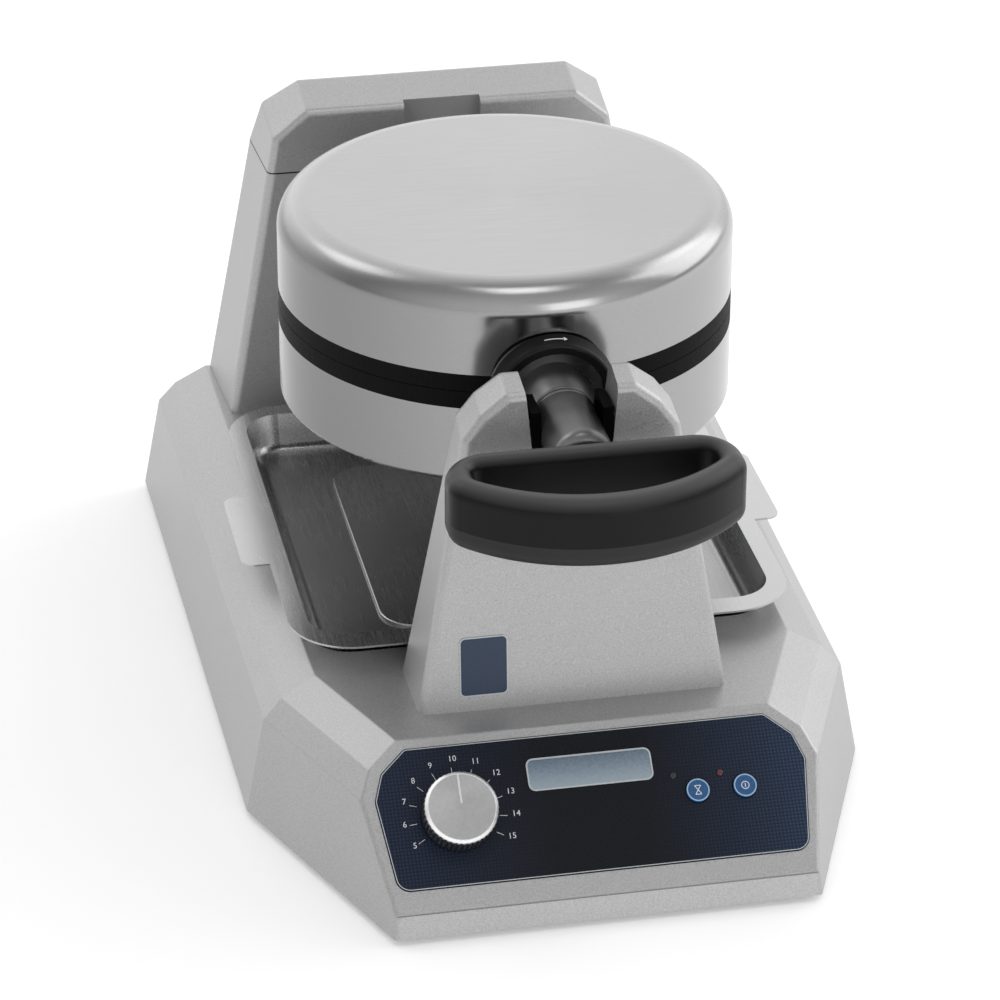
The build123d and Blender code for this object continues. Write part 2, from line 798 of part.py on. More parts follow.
def tower_body(inset=0.0):
    half = tower_half_width + 6
    margin = 1 if inset else 0
    body = block(-half, half, tower_depth, base_length, deck_rise - margin, tower_seam_rise + margin)
    body = tower_sides(body, inset)
    rear = (0, back(base_length), up(deck_rise))
    return keep_behind(body, rear, (0, 1, tower_rear_lean), inset)


def cap_body(inset=0.0):
    half = tower_half_width
    low = tower_seam_rise - (1 if inset else 0)
    body = block(-half, half, tower_depth, base_length, low, cap_ridge_rise + 1)
    body = tower_sides(body, inset)
    front_depth = tower_depth + tower_front_lean * (cap_front_top_rise - deck_rise)
    ridge = (0, back(cap_ridge_depth), up(cap_ridge_rise))
    climb = cap_ridge_rise - cap_front_top_rise
    run = cap_ridge_depth - front_depth
    body = keep_behind(body, ridge, (0, -climb, run), inset)
    rear_top = base_length - tower_rear_lean * (tower_seam_rise - deck_rise)
    fall = cap_ridge_rise - tower_seam_rise
    body = keep_behind(body, ridge, (0, fall, rear_top - cap_ridge_depth), inset)
    (wide, low_rise), (narrow, high_rise) = cap_chamfer
    for side in (1, -1):
        place = (side * wide, back(front_depth), up(low_rise))
        normal = (side * (high_rise - low_rise), -climb * (wide - narrow) / run, wide - narrow)
        body = keep_behind(body, place, normal, inset)
    return body


def shaft_passage():
    """Clearance hole around the rotor shaft in the front walls of the tower and its cap."""
    return along_y(rotor_radius + 1.5, tower_depth - 5, tower_depth + 12)


def make_rear_tower():
    body = tower_body()
    upright_edges = body.edges().filter_by(
        lambda edge: up(deck_rise + 9) < edge.center().Z < up(tower_seam_rise - 9))
    body = fillet(upright_edges, tower_edge)
    cavity = tower_body(tower_wall)
    for x, depth in tower_bolt_places:
        cavity -= both_sides(bolt_boss(x, depth, tower_half_width))
    for x, depth in cap_screw_places:
        cavity -= both_sides(upright(6.0, x, depth, tower_seam_rise - 22, tower_seam_rise + 2))
        cavity -= both_sides(block(x, x + 20, depth - 3, depth + 3,
                                   tower_seam_rise - 22, tower_seam_rise + 2))
    body -= cavity
    body -= shaft_passage()
    for x, depth in tower_bolt_places:
        body -= both_sides(upright(deck_bolt_radius + thread_fit, x, depth, deck_rise - 1, deck_rise + 11))
    for x, depth in cap_screw_places:
        body -= both_sides(upright(plate_screw_radius + hole_fit, x, depth,
                                   tower_seam_rise - 25, tower_seam_rise + 1))
    return one(body)


def make_tower_cap():
    body = cap_body()
    edges = body.edges().filter_by(lambda edge: edge.center().Z > up(tower_seam_rise + 2))
    body = fillet(edges, cap_edge)
    cavity = cap_body(tower_wall)
    notch_front = tower_depth - 5
    notch_back = tower_depth + tower_front_lean * (tower_seam_rise - deck_rise) + notch_depth
    wall_back = notch_back + notch_wall
    lining = block(-notch_half_width - notch_wall, notch_half_width + notch_wall, notch_front, wall_back,
                   tower_seam_rise - 2, cap_ridge_rise + 5)
    cavity -= lining
    for x, depth in cap_screw_places:
        cavity -= both_sides(upright(6.0, x, depth, tower_seam_rise - 2, cap_ridge_rise))
    body -= cavity
    body -= block(-notch_half_width, notch_half_width, notch_front, notch_back,
                  tower_seam_rise - 1, cap_ridge_rise + 5)
    body -= along_y(rotor_radius + 1.5, notch_front, wall_back + 1)
    for x, depth in cap_screw_places:
        body -= both_sides(upright(plate_screw_radius + thread_fit, x, depth,
                                   tower_seam_rise - 1, tower_seam_rise + 13))
    return one(body)


def make_tower_cap_screws():
    def place(x, depth):
        body = screw(plate_screw_radius, bolt_head_radius, bolt_head_height, 22 + 12)
        return Pos(x, back(depth), up(tower_seam_rise - 22)) * Rot(180, 0, 0) * body
    return group(twins(cap_screw_places, place))


def make_tower_bolts():
    bolts = twins(tower_bolt_places, deck_bolt)
    bolts += twins([pedestal_bolt_place()], deck_bolt)
    return group(bolts)


# Bearing pedestal inside the tower

def pedestal_bolt_place():
    """Place of the bolt under each leg of the bearing pedestal."""
    return pedestal_half_width - pedestal_leg_width / 2, sum(pedestal_depths) / 2


def pedestal_top():
    return axis_rise + bush_radius + pedestal_top_margin


def make_bearing_pedestal():
    half = pedestal_half_width
    body = block(-half, half, *pedestal_depths, deck_rise, pedestal_top())
    body -= block(-half + pedestal_leg_width, half - pedestal_leg_width, pedestal_depths[0] - 1,
                  pedestal_depths[1] + 1, deck_rise - 1, pedestal_head_rise)
    for side in (-1, 1):
        lug_low = axis_rise + stop_pin_radius + 0.3
        near = rotor_radius + bush_wall + bush_flange + 1
        inner, outer = sorted((side * near, side * (near + stop_lug_width)))
        lug_front = stop_pin_depth() - stop_pin_radius
        body += block(inner, outer, lug_front, pedestal_depths[0], lug_low, lug_low + 7)
    body -= along_y(bush_radius, pedestal_depths[0] - 1, pedestal_depths[1] + 1)
    x, depth = pedestal_bolt_place()
    body -= both_sides(upright(deck_bolt_radius + thread_fit, x, depth, deck_rise - 1, deck_rise + 11))
    return one(body)


def make_rotor_bushes():
    front, rear = pedestal_depths
    middle = (front + rear) / 2
    bore = along_y(bush_bore_radius, front - 10, rear + 10)
    flange_radius = bush_radius + bush_flange
    pieces = []
    for face, outward in ((front, -1), (rear, 1)):
        edge = face + outward * bush_flange_thickness
        sleeve = along_y(bush_radius, *sorted((middle - outward * -0.25, face)))
        flange = along_y(flange_radius, *sorted((face, edge)))
        pieces.append(sleeve + flange - bore)
    return group(pieces)


def retaining_ring_depths():
    start = pedestal_depths[1] + bush_flange_thickness + seat_gap
    return start, start + ring_thickness


def stop_pin_depth():
    """Depth of the stop pin, just in front of the front bush."""
    return pedestal_depths[0] - bush_flange_thickness - stop_pin_radius - stop_pin_gap


def make_rotor_shaft():
    body = along_y(rotor_radius, rotor_boss_front_depth, rotor_end_depth)
    body -= along_y(rotor_bore_radius, rotor_boss_front_depth - 1, rotor_end_depth + 1)
    groove_radius = rotor_radius - ring_groove_depth
    depths = retaining_ring_depths()
    groove = along_y(rotor_radius + 1, *depths) - along_y(groove_radius, depths[0] - 1, depths[1] + 1)
    body -= groove
    pin_hole = along_x(stop_pin_radius + 0.02, 0, rotor_radius + 1, stop_pin_depth(), axis_rise)
    return one(body - pin_hole)


def make_rotor_retaining_ring():
    depths = retaining_ring_depths()
    inner = rotor_radius - ring_groove_depth + thread_fit
    ring = along_y(inner + ring_width, *depths) - along_y(inner, depths[0] - 1, depths[1] + 1)
    return one(ring - block(-3, 3, *depths, axis_rise, axis_rise + 30))


def make_rotation_stop_pin():
    return one(along_x(stop_pin_radius, rotor_bore_radius + 1, stop_pin_reach, stop_pin_depth(), axis_rise))


# Head: each half is drawn as the upper one, with heights counted from the seam

def upper(shape):
    """Place a shape drawn about the head's centre and seam in the upper half."""
    return Pos(0, head_y, axis_height) * shape


def lower(shape):
    """Place the same shape, turned upside down, in the lower half."""
    return Pos(0, head_y, axis_height) * mirror(shape, about=Plane.XY)


def ring_profile(points, arc=360):
    """Turned body from an outline of (radius, height) points."""
    outline = make_face(Polyline(*points, close=True))
    return revolve(Plane.XZ * outline, axis=Axis.Z, revolution_arc=arc)


def disc(radius, low, high):
    return Pos(0, 0, (low + high) / 2) * Cylinder(radius, high - low)


def shell_half(low, high, corner):
    """Drawn cup of sheet steel between two heights, closed at the top."""
    outer = disc(head_radius, low, high)
    outer = fillet(outer.edges().group_by(Axis.Z)[-1], corner)
    inner = disc(head_radius - shell_wall, low - 1, high - shell_wall)
    inner_corner = max(corner - shell_wall, 0.8)
    return outer - fillet(inner.edges().group_by(Axis.Z)[-1], inner_corner)


def trim_half(height):
    """Half of the black band: outer ring, ledge for the plate and spigot for the shell."""
    ring_inner = head_radius - trim_width
    ledge_inner = head_radius - trim_ledge_width
    spigot_outer = head_radius - shell_wall - 0.1
    spigot_inner = spigot_outer - trim_spigot_width
    points = [
        (head_radius, seam_gap / 2), (head_radius, height), (spigot_outer, height),
        (spigot_outer, height + trim_spigot_height), (spigot_inner, height + trim_spigot_height),
        (spigot_inner, height), (ledge_inner, height), (ledge_inner, height - trim_ledge_height),
        (ring_inner, height - trim_ledge_height), (ring_inner, seam_gap / 2),
    ]
    body = ring_profile(points)
    return body - plate_bolts(plate_bolt_radius + hole_fit, height)


def plate_bolts(radius, height):
    """The four bolt shanks through the ledge into the rim of the plate."""
    shanks = []
    for number in range(4):
        angle = radians(45 + 90 * number)
        x = plate_bolt_ring_radius * cos(angle)
        y = plate_bolt_ring_radius * sin(angle)
        shanks.append(Pos(x, y, height - plate_bolt_length / 2 + 1) * Cylinder(radius, plate_bolt_length + 2))
    return Part() + shanks


def plate_half(height):
    """Cast plate: flat rim, round hollow for half of the bun, and a ring that seals the bread."""
    rim_back = height - trim_ledge_height
    slope = hollow_radius - hollow_floor_radius
    knee = hollow_radius + hollow_wall
    floor = hollow_depth + hollow_wall
    points = [
        (0, hollow_depth), (hollow_floor_radius, hollow_depth), (hollow_radius, plate_face_gap),
        (plate_radius, plate_face_gap), (plate_radius, rim_back), (knee, rim_back),
        (knee - slope * 0.9, floor), (0, floor),
    ]
    body = ring_profile(points)
    groove = sealing_ring_radius + sealing_ring_width
    groove = disc(groove, 0, sealing_ring_groove) - disc(sealing_ring_radius, -1, sealing_ring_groove + 1)
    body -= groove
    ring_place = (0, 0, rim_back + element_tube_radius * 0.35)
    body -= Pos(*ring_place) * Torus(element_ring_radius, element_tube_radius + thread_fit)
    threads = plate_bolts(plate_bolt_radius + thread_fit, height)
    return body - threads


def element_half(height):
    """Tubular heating element in its groove behind the plate, with two ends to wire."""
    middle = height - trim_ledge_height + element_tube_radius * 0.35
    circle = Pos(element_ring_radius, middle) * Circle(element_tube_radius)
    body = revolve(Plane.XZ * circle, axis=Axis.Z, revolution_arc=element_arc)
    for angle in (0, element_arc):
        x = element_ring_radius * cos(radians(angle))
        y = element_ring_radius * sin(radians(angle))
        body += Pos(x, y, middle + 3) * Cylinder(element_tube_radius * 0.6, 10)
    return body


def insulation_half(top):
    """Soft board under the shell, with a clear middle for the thermostat."""
    body = disc(insulation_radius, top - insulation_thickness, top)
    return body - disc(thermostat_radius + 3, 0, top + 1)


def thermostat_half():
    """Disc thermostat clamped on the back of the hollow, with two blades."""
    low = hollow_depth + hollow_wall
    body = disc(thermostat_radius, low, low + thermostat_height)
    for side in (-1, 1):
        body += Pos(side * 4, 0, low + thermostat_height + 2) * Box(0.8, 5, 5)
    return body


def plate_screws_half(height):
    """Four bolts that clamp the plate on the ledge of the trim ring."""
    pieces = []
    for number in range(4):
        angle = radians(45 + 90 * number)
        x = plate_bolt_ring_radius * cos(angle)
        y = plate_bolt_ring_radius * sin(angle)
        body = screw(plate_bolt_radius, bolt_head_radius, bolt_head_height, plate_bolt_length - 1)
        pieces.append(Pos(x, y, height) * body)
    return pieces


def cover_shell_height():
    return lid_top_rise - axis_rise


def pan_shell_height():
    return axis_rise - shell_bottom_rise


def make_lid_shell():
    body = upper(shell_half(band_top, cover_shell_height(), lid_corner))
    for x, rise in stem_screw_places:
        body -= along_y(stem_screw_radius + hole_fit, stem_front_wall() - 6, stem_front_wall() + 14, x, rise)
    for x, rise in arm_screw_places:
        body -= along_y(stem_screw_radius + hole_fit, hinge_depth - 30, hinge_depth, x, rise)
    return one(body)


def make_lower_shell():
    body = lower(shell_half(band_bottom, pan_shell_height(), shell_corner))
    for x, rise in bracket_bolt_places:
        body -= along_y(stem_screw_radius + hole_fit, hinge_depth - 30, hinge_depth, x, rise)
    for x, rise in keeper_screw_places():
        body -= along_y(stem_screw_radius + hole_fit, stem_front_wall() - 6, stem_front_wall() + 14, x, rise)
    return one(body)


def head_wall(margin=0.0):
    """Upright cylinder of the head, from the table to over the lid."""
    return Pos(0, head_y, axis_height) * Cylinder(head_radius + margin, 200)


# Stem, handle, lock collar and keeper

def stem_front_wall():
    """Depth of the head's front, in the middle plane."""
    return head_depth - head_radius


def keeper_screw_places():
    return [(-keeper_screw_x, keeper_screw_rise), (keeper_screw_x, keeper_screw_rise)]


def make_handle_stem():
    stem_rear = funnel_narrow_depth + 1
    body = along_y(stem_radius, handle_rear_depth, stem_rear)
    body = fillet(body.edges().group_by(Axis.Y)[0], stem_front_round)
    body += cone_along_y(stem_radius, funnel_wide_radius, funnel_narrow_depth, funnel_wide_depth)
    body += along_y(journal_radius, funnel_wide_depth, saddle_front_depth)
    saddle = along_y(saddle_radius, saddle_front_depth, stem_front_wall() + 8)
    saddle = keep_behind(saddle, (0, 0, axis_height + seam_gap / 2), (0, 0, -1))
    body += saddle - head_wall()
    body -= both_sides(block(0, tongue_width / 2 + moving_gap, funnel_wide_depth, saddle_front_depth + 4,
                             axis_rise - journal_radius - 1, axis_rise - tongue_top_radius + moving_gap))
    width, height, length = stem_tenon
    seam = handle_seam_rise
    body += block(-width / 2, width / 2, handle_rear_depth - length, handle_rear_depth + 1, seam - height / 2,
                  seam + height / 2)
    body -= along_y(stem_bore_radius, handle_rear_depth + 6, stem_front_wall() - 4)
    for x, rise in stem_screw_places:
        body -= along_y(stem_screw_radius + thread_fit, stem_front_wall() - 5, stem_front_wall() + 10,
                        x, rise)
    return one(body)


def wall_depth(x, inside=False):
    """Depth of the head's front wall at an x, on its outside or inside face."""
    radius = head_radius - (shell_wall if inside else 0)
    return head_depth - sqrt(radius * radius - x * x)


def front_screw(x, rise, length):
    """Screw from inside the head through its front wall."""
    body = screw(stem_screw_radius, bolt_head_radius, bolt_head_height, length)
    return Pos(x, back(wall_depth(x, inside=True) + 0.8), up(rise)) * Rot(-90, 0, 0) * body


def rear_screw(x, rise, length):
    """Screw from inside the head through its rear wall."""
    depth = 2 * head_depth - wall_depth(x, inside=True) - 0.8
    body = screw(stem_screw_radius, bolt_head_radius, bolt_head_height, length)
    return Pos(x, back(depth), up(rise)) * Rot(90, 0, 0) * body


def make_stem_screws():
    return group([front_screw(x, rise, stem_screw_length) for x, rise in stem_screw_places])


def make_lock_keeper():
    saddle = along_y(saddle_radius, saddle_front_depth + 0.2, stem_front_wall() + 10)
    saddle = keep_behind(saddle, (0, 0, axis_height - seam_gap / 2), (0, 0, 1))
    half = tongue_width / 2
    tongue = block(-half, half, funnel_wide_depth + moving_gap, stem_front_wall() + 2,
                   axis_rise - journal_radius, axis_rise - tongue_top_radius)
    tongue &= along_y(journal_radius - moving_gap, funnel_wide_depth, stem_front_wall() + 3)
    body = saddle + tongue - head_wall()
    for x, rise in keeper_screw_places():
        body -= along_y(stem_screw_radius + thread_fit, stem_front_wall() - 5, stem_front_wall() + 10,
                        x, rise)
    return one(body)


def make_keeper_screws():
    return group([front_screw(x, rise, keeper_screw_length) for x, rise in keeper_screw_places()])


def make_lock_collar():
    body = cone_along_y(collar_front_radius, collar_rear_radius, collar_front_depth, collar_rear_depth)
    front_edge = body.edges().sort_by(Axis.Y)[0]
    body = fillet(front_edge, collar_edge)
    body -= along_y(journal_radius + running_fit, collar_front_depth - 1, collar_rear_depth + 1)
    slot_half = tongue_width / 2 + moving_gap
    body -= block(-slot_half, slot_half, collar_front_depth - 1, collar_rear_depth + 1,
                  axis_rise - collar_rear_radius - 1, axis_rise)
    return one(body)


def loop_outline(half_width, front, rear, arc, rear_corner, front_corner):
    """D outline in plan: a round front, two straight sides and a straight back."""
    centre_y = back(front) + arc
    circle = Pos(0, centre_y) * Circle(arc)
    frame_front = back(front) - 1
    frame = Pos(0, (frame_front + back(rear)) / 2) * Rectangle(2 * half_width, back(rear) - frame_front)
    outline = circle & frame
    rear_points = outline.vertices().group_by(Axis.Y)[-1]
    outline = fillet(rear_points, rear_corner)
    side_points = outline.vertices().filter_by(
        lambda point: abs(abs(point.X) - half_width) < 0.01 and point.Y < back(rear) - rear_corner - 1)
    return fillet(side_points, front_corner)


def handle_loop():
    outer = loop_outline(handle_half_width, handle_front_depth, handle_rear_depth, handle_front_arc,
                         handle_corner, handle_front_corner)
    grip = loop_outline(grip_half_width, grip_front_depth, grip_rear_depth, grip_front_arc,
                        grip_corner, grip_corner)
    height = handle_top_rise - handle_bottom_rise
    body = extrude(Pos(0, 0, up(handle_bottom_rise)) * outer, amount=height)
    rims = body.edges().group_by(Axis.Z)
    body = fillet(rims[0] + rims[-1], handle_edge)
    hole = extrude(Pos(0, 0, up(handle_bottom_rise)) * grip, amount=height)
    body -= hole
    inner_rims = body.edges().filter_by(
        lambda edge: abs(edge.center().X) < grip_half_width + 1
        and (abs(edge.center().Z - up(handle_bottom_rise)) < 0.01
             or abs(edge.center().Z - up(handle_top_rise)) < 0.01)
        and edge_on_hole(edge))
    return fillet(inner_rims, grip_edge)


def edge_on_hole(edge):
    """True for an edge of the finger hole, on the loop's flat top or bottom."""
    point = edge @ 0.5
    inside_x = abs(point.X) <= grip_half_width + 0.01
    near_side = abs(point.X) > grip_half_width - grip_corner - 3
    arc_y = back(grip_front_depth) + grip_front_arc - sqrt(grip_front_arc ** 2 - min(abs(point.X), 60) ** 2)
    on_front = abs(point.Y - arc_y) < 0.5
    on_rear = abs(point.Y - back(grip_rear_depth)) < 0.01
    return inside_x and (near_side or on_front or on_rear) and point.Y < back(grip_rear_depth) + 0.01


def tenon_pocket():
    width, height, length = stem_tenon
    half = width / 2 + 0.1
    lift = height / 2 + 0.1
    return block(-half, half, handle_rear_depth - length - 0.1, handle_rear_depth + 1,
                 handle_seam_rise - lift, handle_seam_rise + lift)


def handle_screw_floor():
    """Height at which the heads of the handle screws sit."""
    return handle_bottom_rise + 5.0


def handle_screw_tip():
    return handle_seam_rise + 7.0


def make_handle_upper_half():
    body = keep_behind(handle_loop(), (0, 0, up(handle_seam_rise)), (0, 0, -1)) - tenon_pocket()
    for x, depth in handle_screw_places:
        body -= upright(handle_screw_radius + thread_fit, x, depth,
                        handle_seam_rise - 1, handle_screw_tip() + 0.5)
    return one(body)


def make_handle_lower_half():
    body = keep_behind(handle_loop(), (0, 0, up(handle_seam_rise)), (0, 0, 1)) - tenon_pocket()
    for x, depth in handle_screw_places:
        body -= upright(handle_screw_radius + hole_fit, x, depth, handle_bottom_rise, handle_seam_rise + 1)
        body -= upright(handle_screw_head_radius + 0.2, x, depth,
                        handle_bottom_rise - 1, handle_screw_floor())
    return one(body)


def make_handle_screws():
    pieces = []
    for x, depth in handle_screw_places:
        length = handle_screw_tip() - handle_screw_floor()
        body = screw(handle_screw_radius, handle_screw_head_radius, 2.2, length)
        pieces.append(Pos(x, back(depth), up(handle_screw_floor())) * Rot(180, 0, 0) * body)
    return group(pieces)


# Hinge bracket, lid arm and pin

def rear_wall():
    """Depth of the head's rear, in the middle plane."""
    return head_depth + head_radius


def make_hinge_bracket():
    foot_back = rear_wall() + bracket_foot_thickness
    foot = block(-bracket_half_width, bracket_half_width, rear_wall() - 6, foot_back,
                 bracket_bottom_rise, bracket_top_rise)
    boss = along_y(rotor_boss_radius, rotor_boss_front_depth, rotor_boss_rear_depth)
    web = block(-web_half_width, web_half_width, foot_back - 1, rotor_boss_front_depth + 1,
                bracket_bottom_rise + 6, web_top_rise)
    body = foot + boss + web
    ear_inner = knuckle_half_width + ear_gap
    ear_outer = ear_inner + ear_thickness
    for side in (-1, 1):
        inner, outer = sorted((side * ear_inner, side * ear_outer))
        body += along_x(knuckle_radius, inner, outer, hinge_depth, hinge_rise)
        body += block(inner, outer, hinge_depth - knuckle_radius, hinge_depth + knuckle_radius,
                      bracket_bottom_rise + 6, hinge_rise)
        body += block(*sorted((side * (web_half_width - 2), side * ear_outer)), foot_back - 1,
                      rotor_boss_front_depth + 2, bracket_bottom_rise + 6, bracket_top_rise + 6)
    body -= head_wall()
    body -= along_x(hinge_pin_radius, -bracket_half_width, bracket_half_width, hinge_depth, hinge_rise)
    body -= block(-ear_inner, ear_inner, hinge_depth - knuckle_radius - 3, hinge_depth + knuckle_radius + 1,
                  web_top_rise, hinge_rise + knuckle_radius + 1)
    body -= along_y(rotor_radius, rotor_boss_front_depth, rotor_boss_rear_depth + 1)
    body -= along_y(rotor_bore_radius, foot_back + 2, rotor_boss_front_depth + 1)
    for x, rise in bracket_bolt_places:
        body -= along_y(stem_screw_radius + thread_fit, rear_wall() - 8, foot_back + 1, x, rise)
    return one(body)


def make_hinge_pin():
    ear_outer = knuckle_half_width + ear_gap + ear_thickness
    pin = along_x(hinge_pin_radius, -ear_outer - 0.5, ear_outer + 0.5, hinge_depth, hinge_rise)
    return one(chamfer(pin.edges().filter_by(GeomType.CIRCLE), 0.4))


def make_bracket_bolts():
    return group([rear_screw(x, rise, 6.5) for x, rise in bracket_bolt_places])


def make_lid_hinge_arm():
    low, high = arm_plate_rises
    plate = block(-arm_half_width, arm_half_width, rear_wall() - 4, rear_wall() + arm_plate_thickness,
                  low, high)
    knuckle = along_x(knuckle_radius, -knuckle_half_width, knuckle_half_width, hinge_depth, hinge_rise)
    neck = block(-knuckle_half_width, knuckle_half_width, rear_wall() + 1, hinge_depth,
                 hinge_rise - knuckle_radius, hinge_rise + knuckle_radius)
    body = plate - head_wall() + neck + knuckle
    body -= head_wall()
    body -= along_x(hinge_pin_radius + running_fit, -arm_half_width, arm_half_width, hinge_depth, hinge_rise)
    for x, rise in arm_screw_places:
        body -= along_y(stem_screw_radius + thread_fit, rear_wall() - 8, rear_wall() + 8, x, rise)
    return one(body)


def make_hinge_arm_screws():
    return group([rear_screw(x, rise, 5.0) for x, rise in arm_screw_places])


# Drip tray

def pan_well(inset, floor, rim, corner):
    """Body of the pan's well: it widens upward from a rounded floor to a height over its rim."""
    lean = well_draft / (tray_flange_rise - well_floor_rise)
    foot_inset = inset + lean * (tray_flange_rise - floor)
    width = 2 * (well_half_width - foot_inset)
    length = well_depths[1] - well_depths[0] - 2 * foot_inset
    foot = RectangleRounded(width, length, well_corner - foot_inset)
    foot = Pos(0, back(sum(well_depths) / 2), up(floor)) * foot
    body = extrude(foot, amount=rim - floor, taper=-degrees(atan2(lean, 1)))
    return fillet(body.edges().group_by(Axis.Z)[0], corner)


def make_drip_tray():
    top = tray_flange_rise
    flange = rounded_slab(tray_half_width, tray_depths, tray_corner, top - tray_thickness, top)
    tab = rounded_slab(tray_half_width + tab_reach, tab_depths, tab_corner, top - tray_thickness, top)
    outside = pan_well(0.0, well_floor_rise - tray_thickness, top, pan_floor_corner + tray_thickness)
    inside = pan_well(tray_thickness, well_floor_rise, top + 1, pan_floor_corner)
    body = flange + tab + outside - inside
    panel = rounded_slab(tray_panel_half_width, tray_panel_depths, tray_panel_corner,
                         well_floor_rise - tray_thickness / 2, well_floor_rise + tray_panel_rise)
    panel = fillet(panel.edges().group_by(Axis.Z)[-1], tray_panel_rise * 0.6)
    under_depths = (tray_panel_depths[0] + tray_thickness, tray_panel_depths[1] - tray_thickness)
    under_top = well_floor_rise + tray_panel_rise - tray_thickness
    under = rounded_slab(tray_panel_half_width - tray_thickness, under_depths,
                         tray_panel_corner - tray_thickness, well_floor_rise - 2 * tray_thickness, under_top)
    return one(body + panel - under)


# Power side of the base

def power_board_posts():
    """Places of the four posts under the power board."""
    width, length, _ = power_board_size
    middle_x, middle_depth = power_board_middle
    spots = []
    for side_x in (-1, 1):
        for side_y in (-1, 1):
            spots.append((middle_x + side_x * (width / 2 - 6), middle_depth + side_y * (length / 2 - 6)))
    return spots


def power_board_rise():
    return plate_recess + plate_thickness + power_board_post


def standing_box(middle, size, rise):
    x, depth = middle
    half_width, half_length = size[0] / 2, size[1] / 2
    return block(x - half_width, x + half_width, depth - half_length, depth + half_length,
                 rise, rise + size[2])


def make_power_board():
    return one(standing_box(power_board_middle, power_board_size, power_board_rise()))


def make_power_relay():
    x, depth = power_board_middle
    top = power_board_rise() + power_board_size[2]
    return one(standing_box((x + 30, depth), relay_size, top))


def make_terminal_block():
    rise = plate_recess + plate_thickness
    body = standing_box(terminal_middle, terminal_size, rise)
    for number in range(5):
        x = terminal_middle[0] + (number - 2) * terminal_size[0] / 5
        body -= upright(2.2, x, terminal_middle[1], rise + terminal_size[2] - 4, rise + terminal_size[2] + 1)
    return one(body)


def make_cord_gland():
    x, rise = gland_place
    face = base_length - gland_recess_depth
    dome = along_y(gland_radius, face, base_length - 1.0, x, rise)
    dome = fillet(dome.edges().sort_by(Axis.Y)[-1], 2.0)
    flange = extrude(Plane(origin=(x, back(face), up(rise)), x_dir=(1, 0, 0), z_dir=(0, 1, 0))
                     * RegularPolygon(gland_radius + 2.5, 6), amount=4.0)
    thread = along_y(gland_radius - 2, face - housing_wall - 6, face + 1, x, rise)
    nut = along_y(gland_radius + 2, face - housing_wall - 5, face - housing_wall, x, rise)
    bore = along_y(gland_bore_radius, face - 20, base_length + 1, x, rise)
    return one(dome + flange + thread + nut - bore)


nodes = {
    "base_housing": make_base_housing,
    "base_plate": make_base_plate,
    "base_plate_screws": make_base_plate_screws,
    "rubber_feet": make_rubber_feet,
    "control_panel": make_control_panel,
    "control_board": make_control_board,
    "timer_potentiometer": make_timer_potentiometer,
    "tact_switches": make_tact_switches,
    "ready_light_lens": lambda: make_light(ready_light_place),
    "power_light_lens": lambda: make_light(power_light_place),
    "front_cradle": make_front_cradle,
    "cradle_bearing": make_cradle_bearing,
    "bearing_screws": make_bearing_screws,
    "cradle_bolts": make_cradle_bolts,
    "rear_tower": make_rear_tower,
    "tower_cap": make_tower_cap,
    "tower_cap_screws": make_tower_cap_screws,
    "tower_bolts": make_tower_bolts,
    "bearing_pedestal": make_bearing_pedestal,
    "rotor_bushes": make_rotor_bushes,
    "power_board": make_power_board,
    "power_relay": make_power_relay,
    "terminal_block": make_terminal_block,
    "cord_gland": make_cord_gland,
    "rotor_shaft": make_rotor_shaft,
    "rotor_retaining_ring": make_rotor_retaining_ring,
    "rotation_stop_pin": make_rotation_stop_pin,
    "hinge_bracket": make_hinge_bracket,
    "bracket_bolts": make_bracket_bolts,
    "hinge_pin": make_hinge_pin,
    "lower_shell": make_lower_shell,
    "lower_trim_ring": lambda: one(lower(trim_half(band_bottom))),
    "lower_plate": lambda: one(lower(plate_half(band_bottom))),
    "lower_heating_element": lambda: one(lower(element_half(band_bottom))),
    "lower_insulation": lambda: one(lower(insulation_half(pan_shell_height() - shell_wall))),
    "lower_thermostat": lambda: one(lower(thermostat_half())),
    "lower_plate_screws": lambda: group([lower(piece) for piece in plate_screws_half(band_bottom)]),
    "lock_keeper": make_lock_keeper,
    "keeper_screws": make_keeper_screws,
    "lid_shell": make_lid_shell,
    "upper_trim_ring": lambda: one(upper(trim_half(band_top))),
    "upper_plate": lambda: one(upper(plate_half(band_top))),
    "upper_heating_element": lambda: one(upper(element_half(band_top))),
    "upper_insulation": lambda: one(upper(insulation_half(cover_shell_height() - shell_wall))),
    "upper_thermostat": lambda: one(upper(thermostat_half())),
    "upper_plate_screws": lambda: group([upper(piece) for piece in plate_screws_half(band_top)]),
    "lid_hinge_arm": make_lid_hinge_arm,
    "hinge_arm_screws": make_hinge_arm_screws,
    "handle_stem": make_handle_stem,
    "stem_screws": make_stem_screws,
    "handle_upper_half": make_handle_upper_half,
    "handle_lower_half": make_handle_lower_half,
    "handle_screws": make_handle_screws,
    "lock_collar": make_lock_collar,
    "drip_tray": make_drip_tray,
    "timer_knob": make_timer_knob,
    "knob_pointer": make_knob_pointer,
    "timer_shaft": make_timer_shaft,
    "start_button": lambda: make_button(start_place),
    "standby_button": lambda: make_button(standby_place),
}

os.makedirs("parts", exist_ok=True)
for name, make in nodes.items():
    export_step(make(), f"parts/{name}.step")
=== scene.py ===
import bpy
from math import atan2, cos, pi, radians, sin, tan
from mathutils import Matrix, Vector


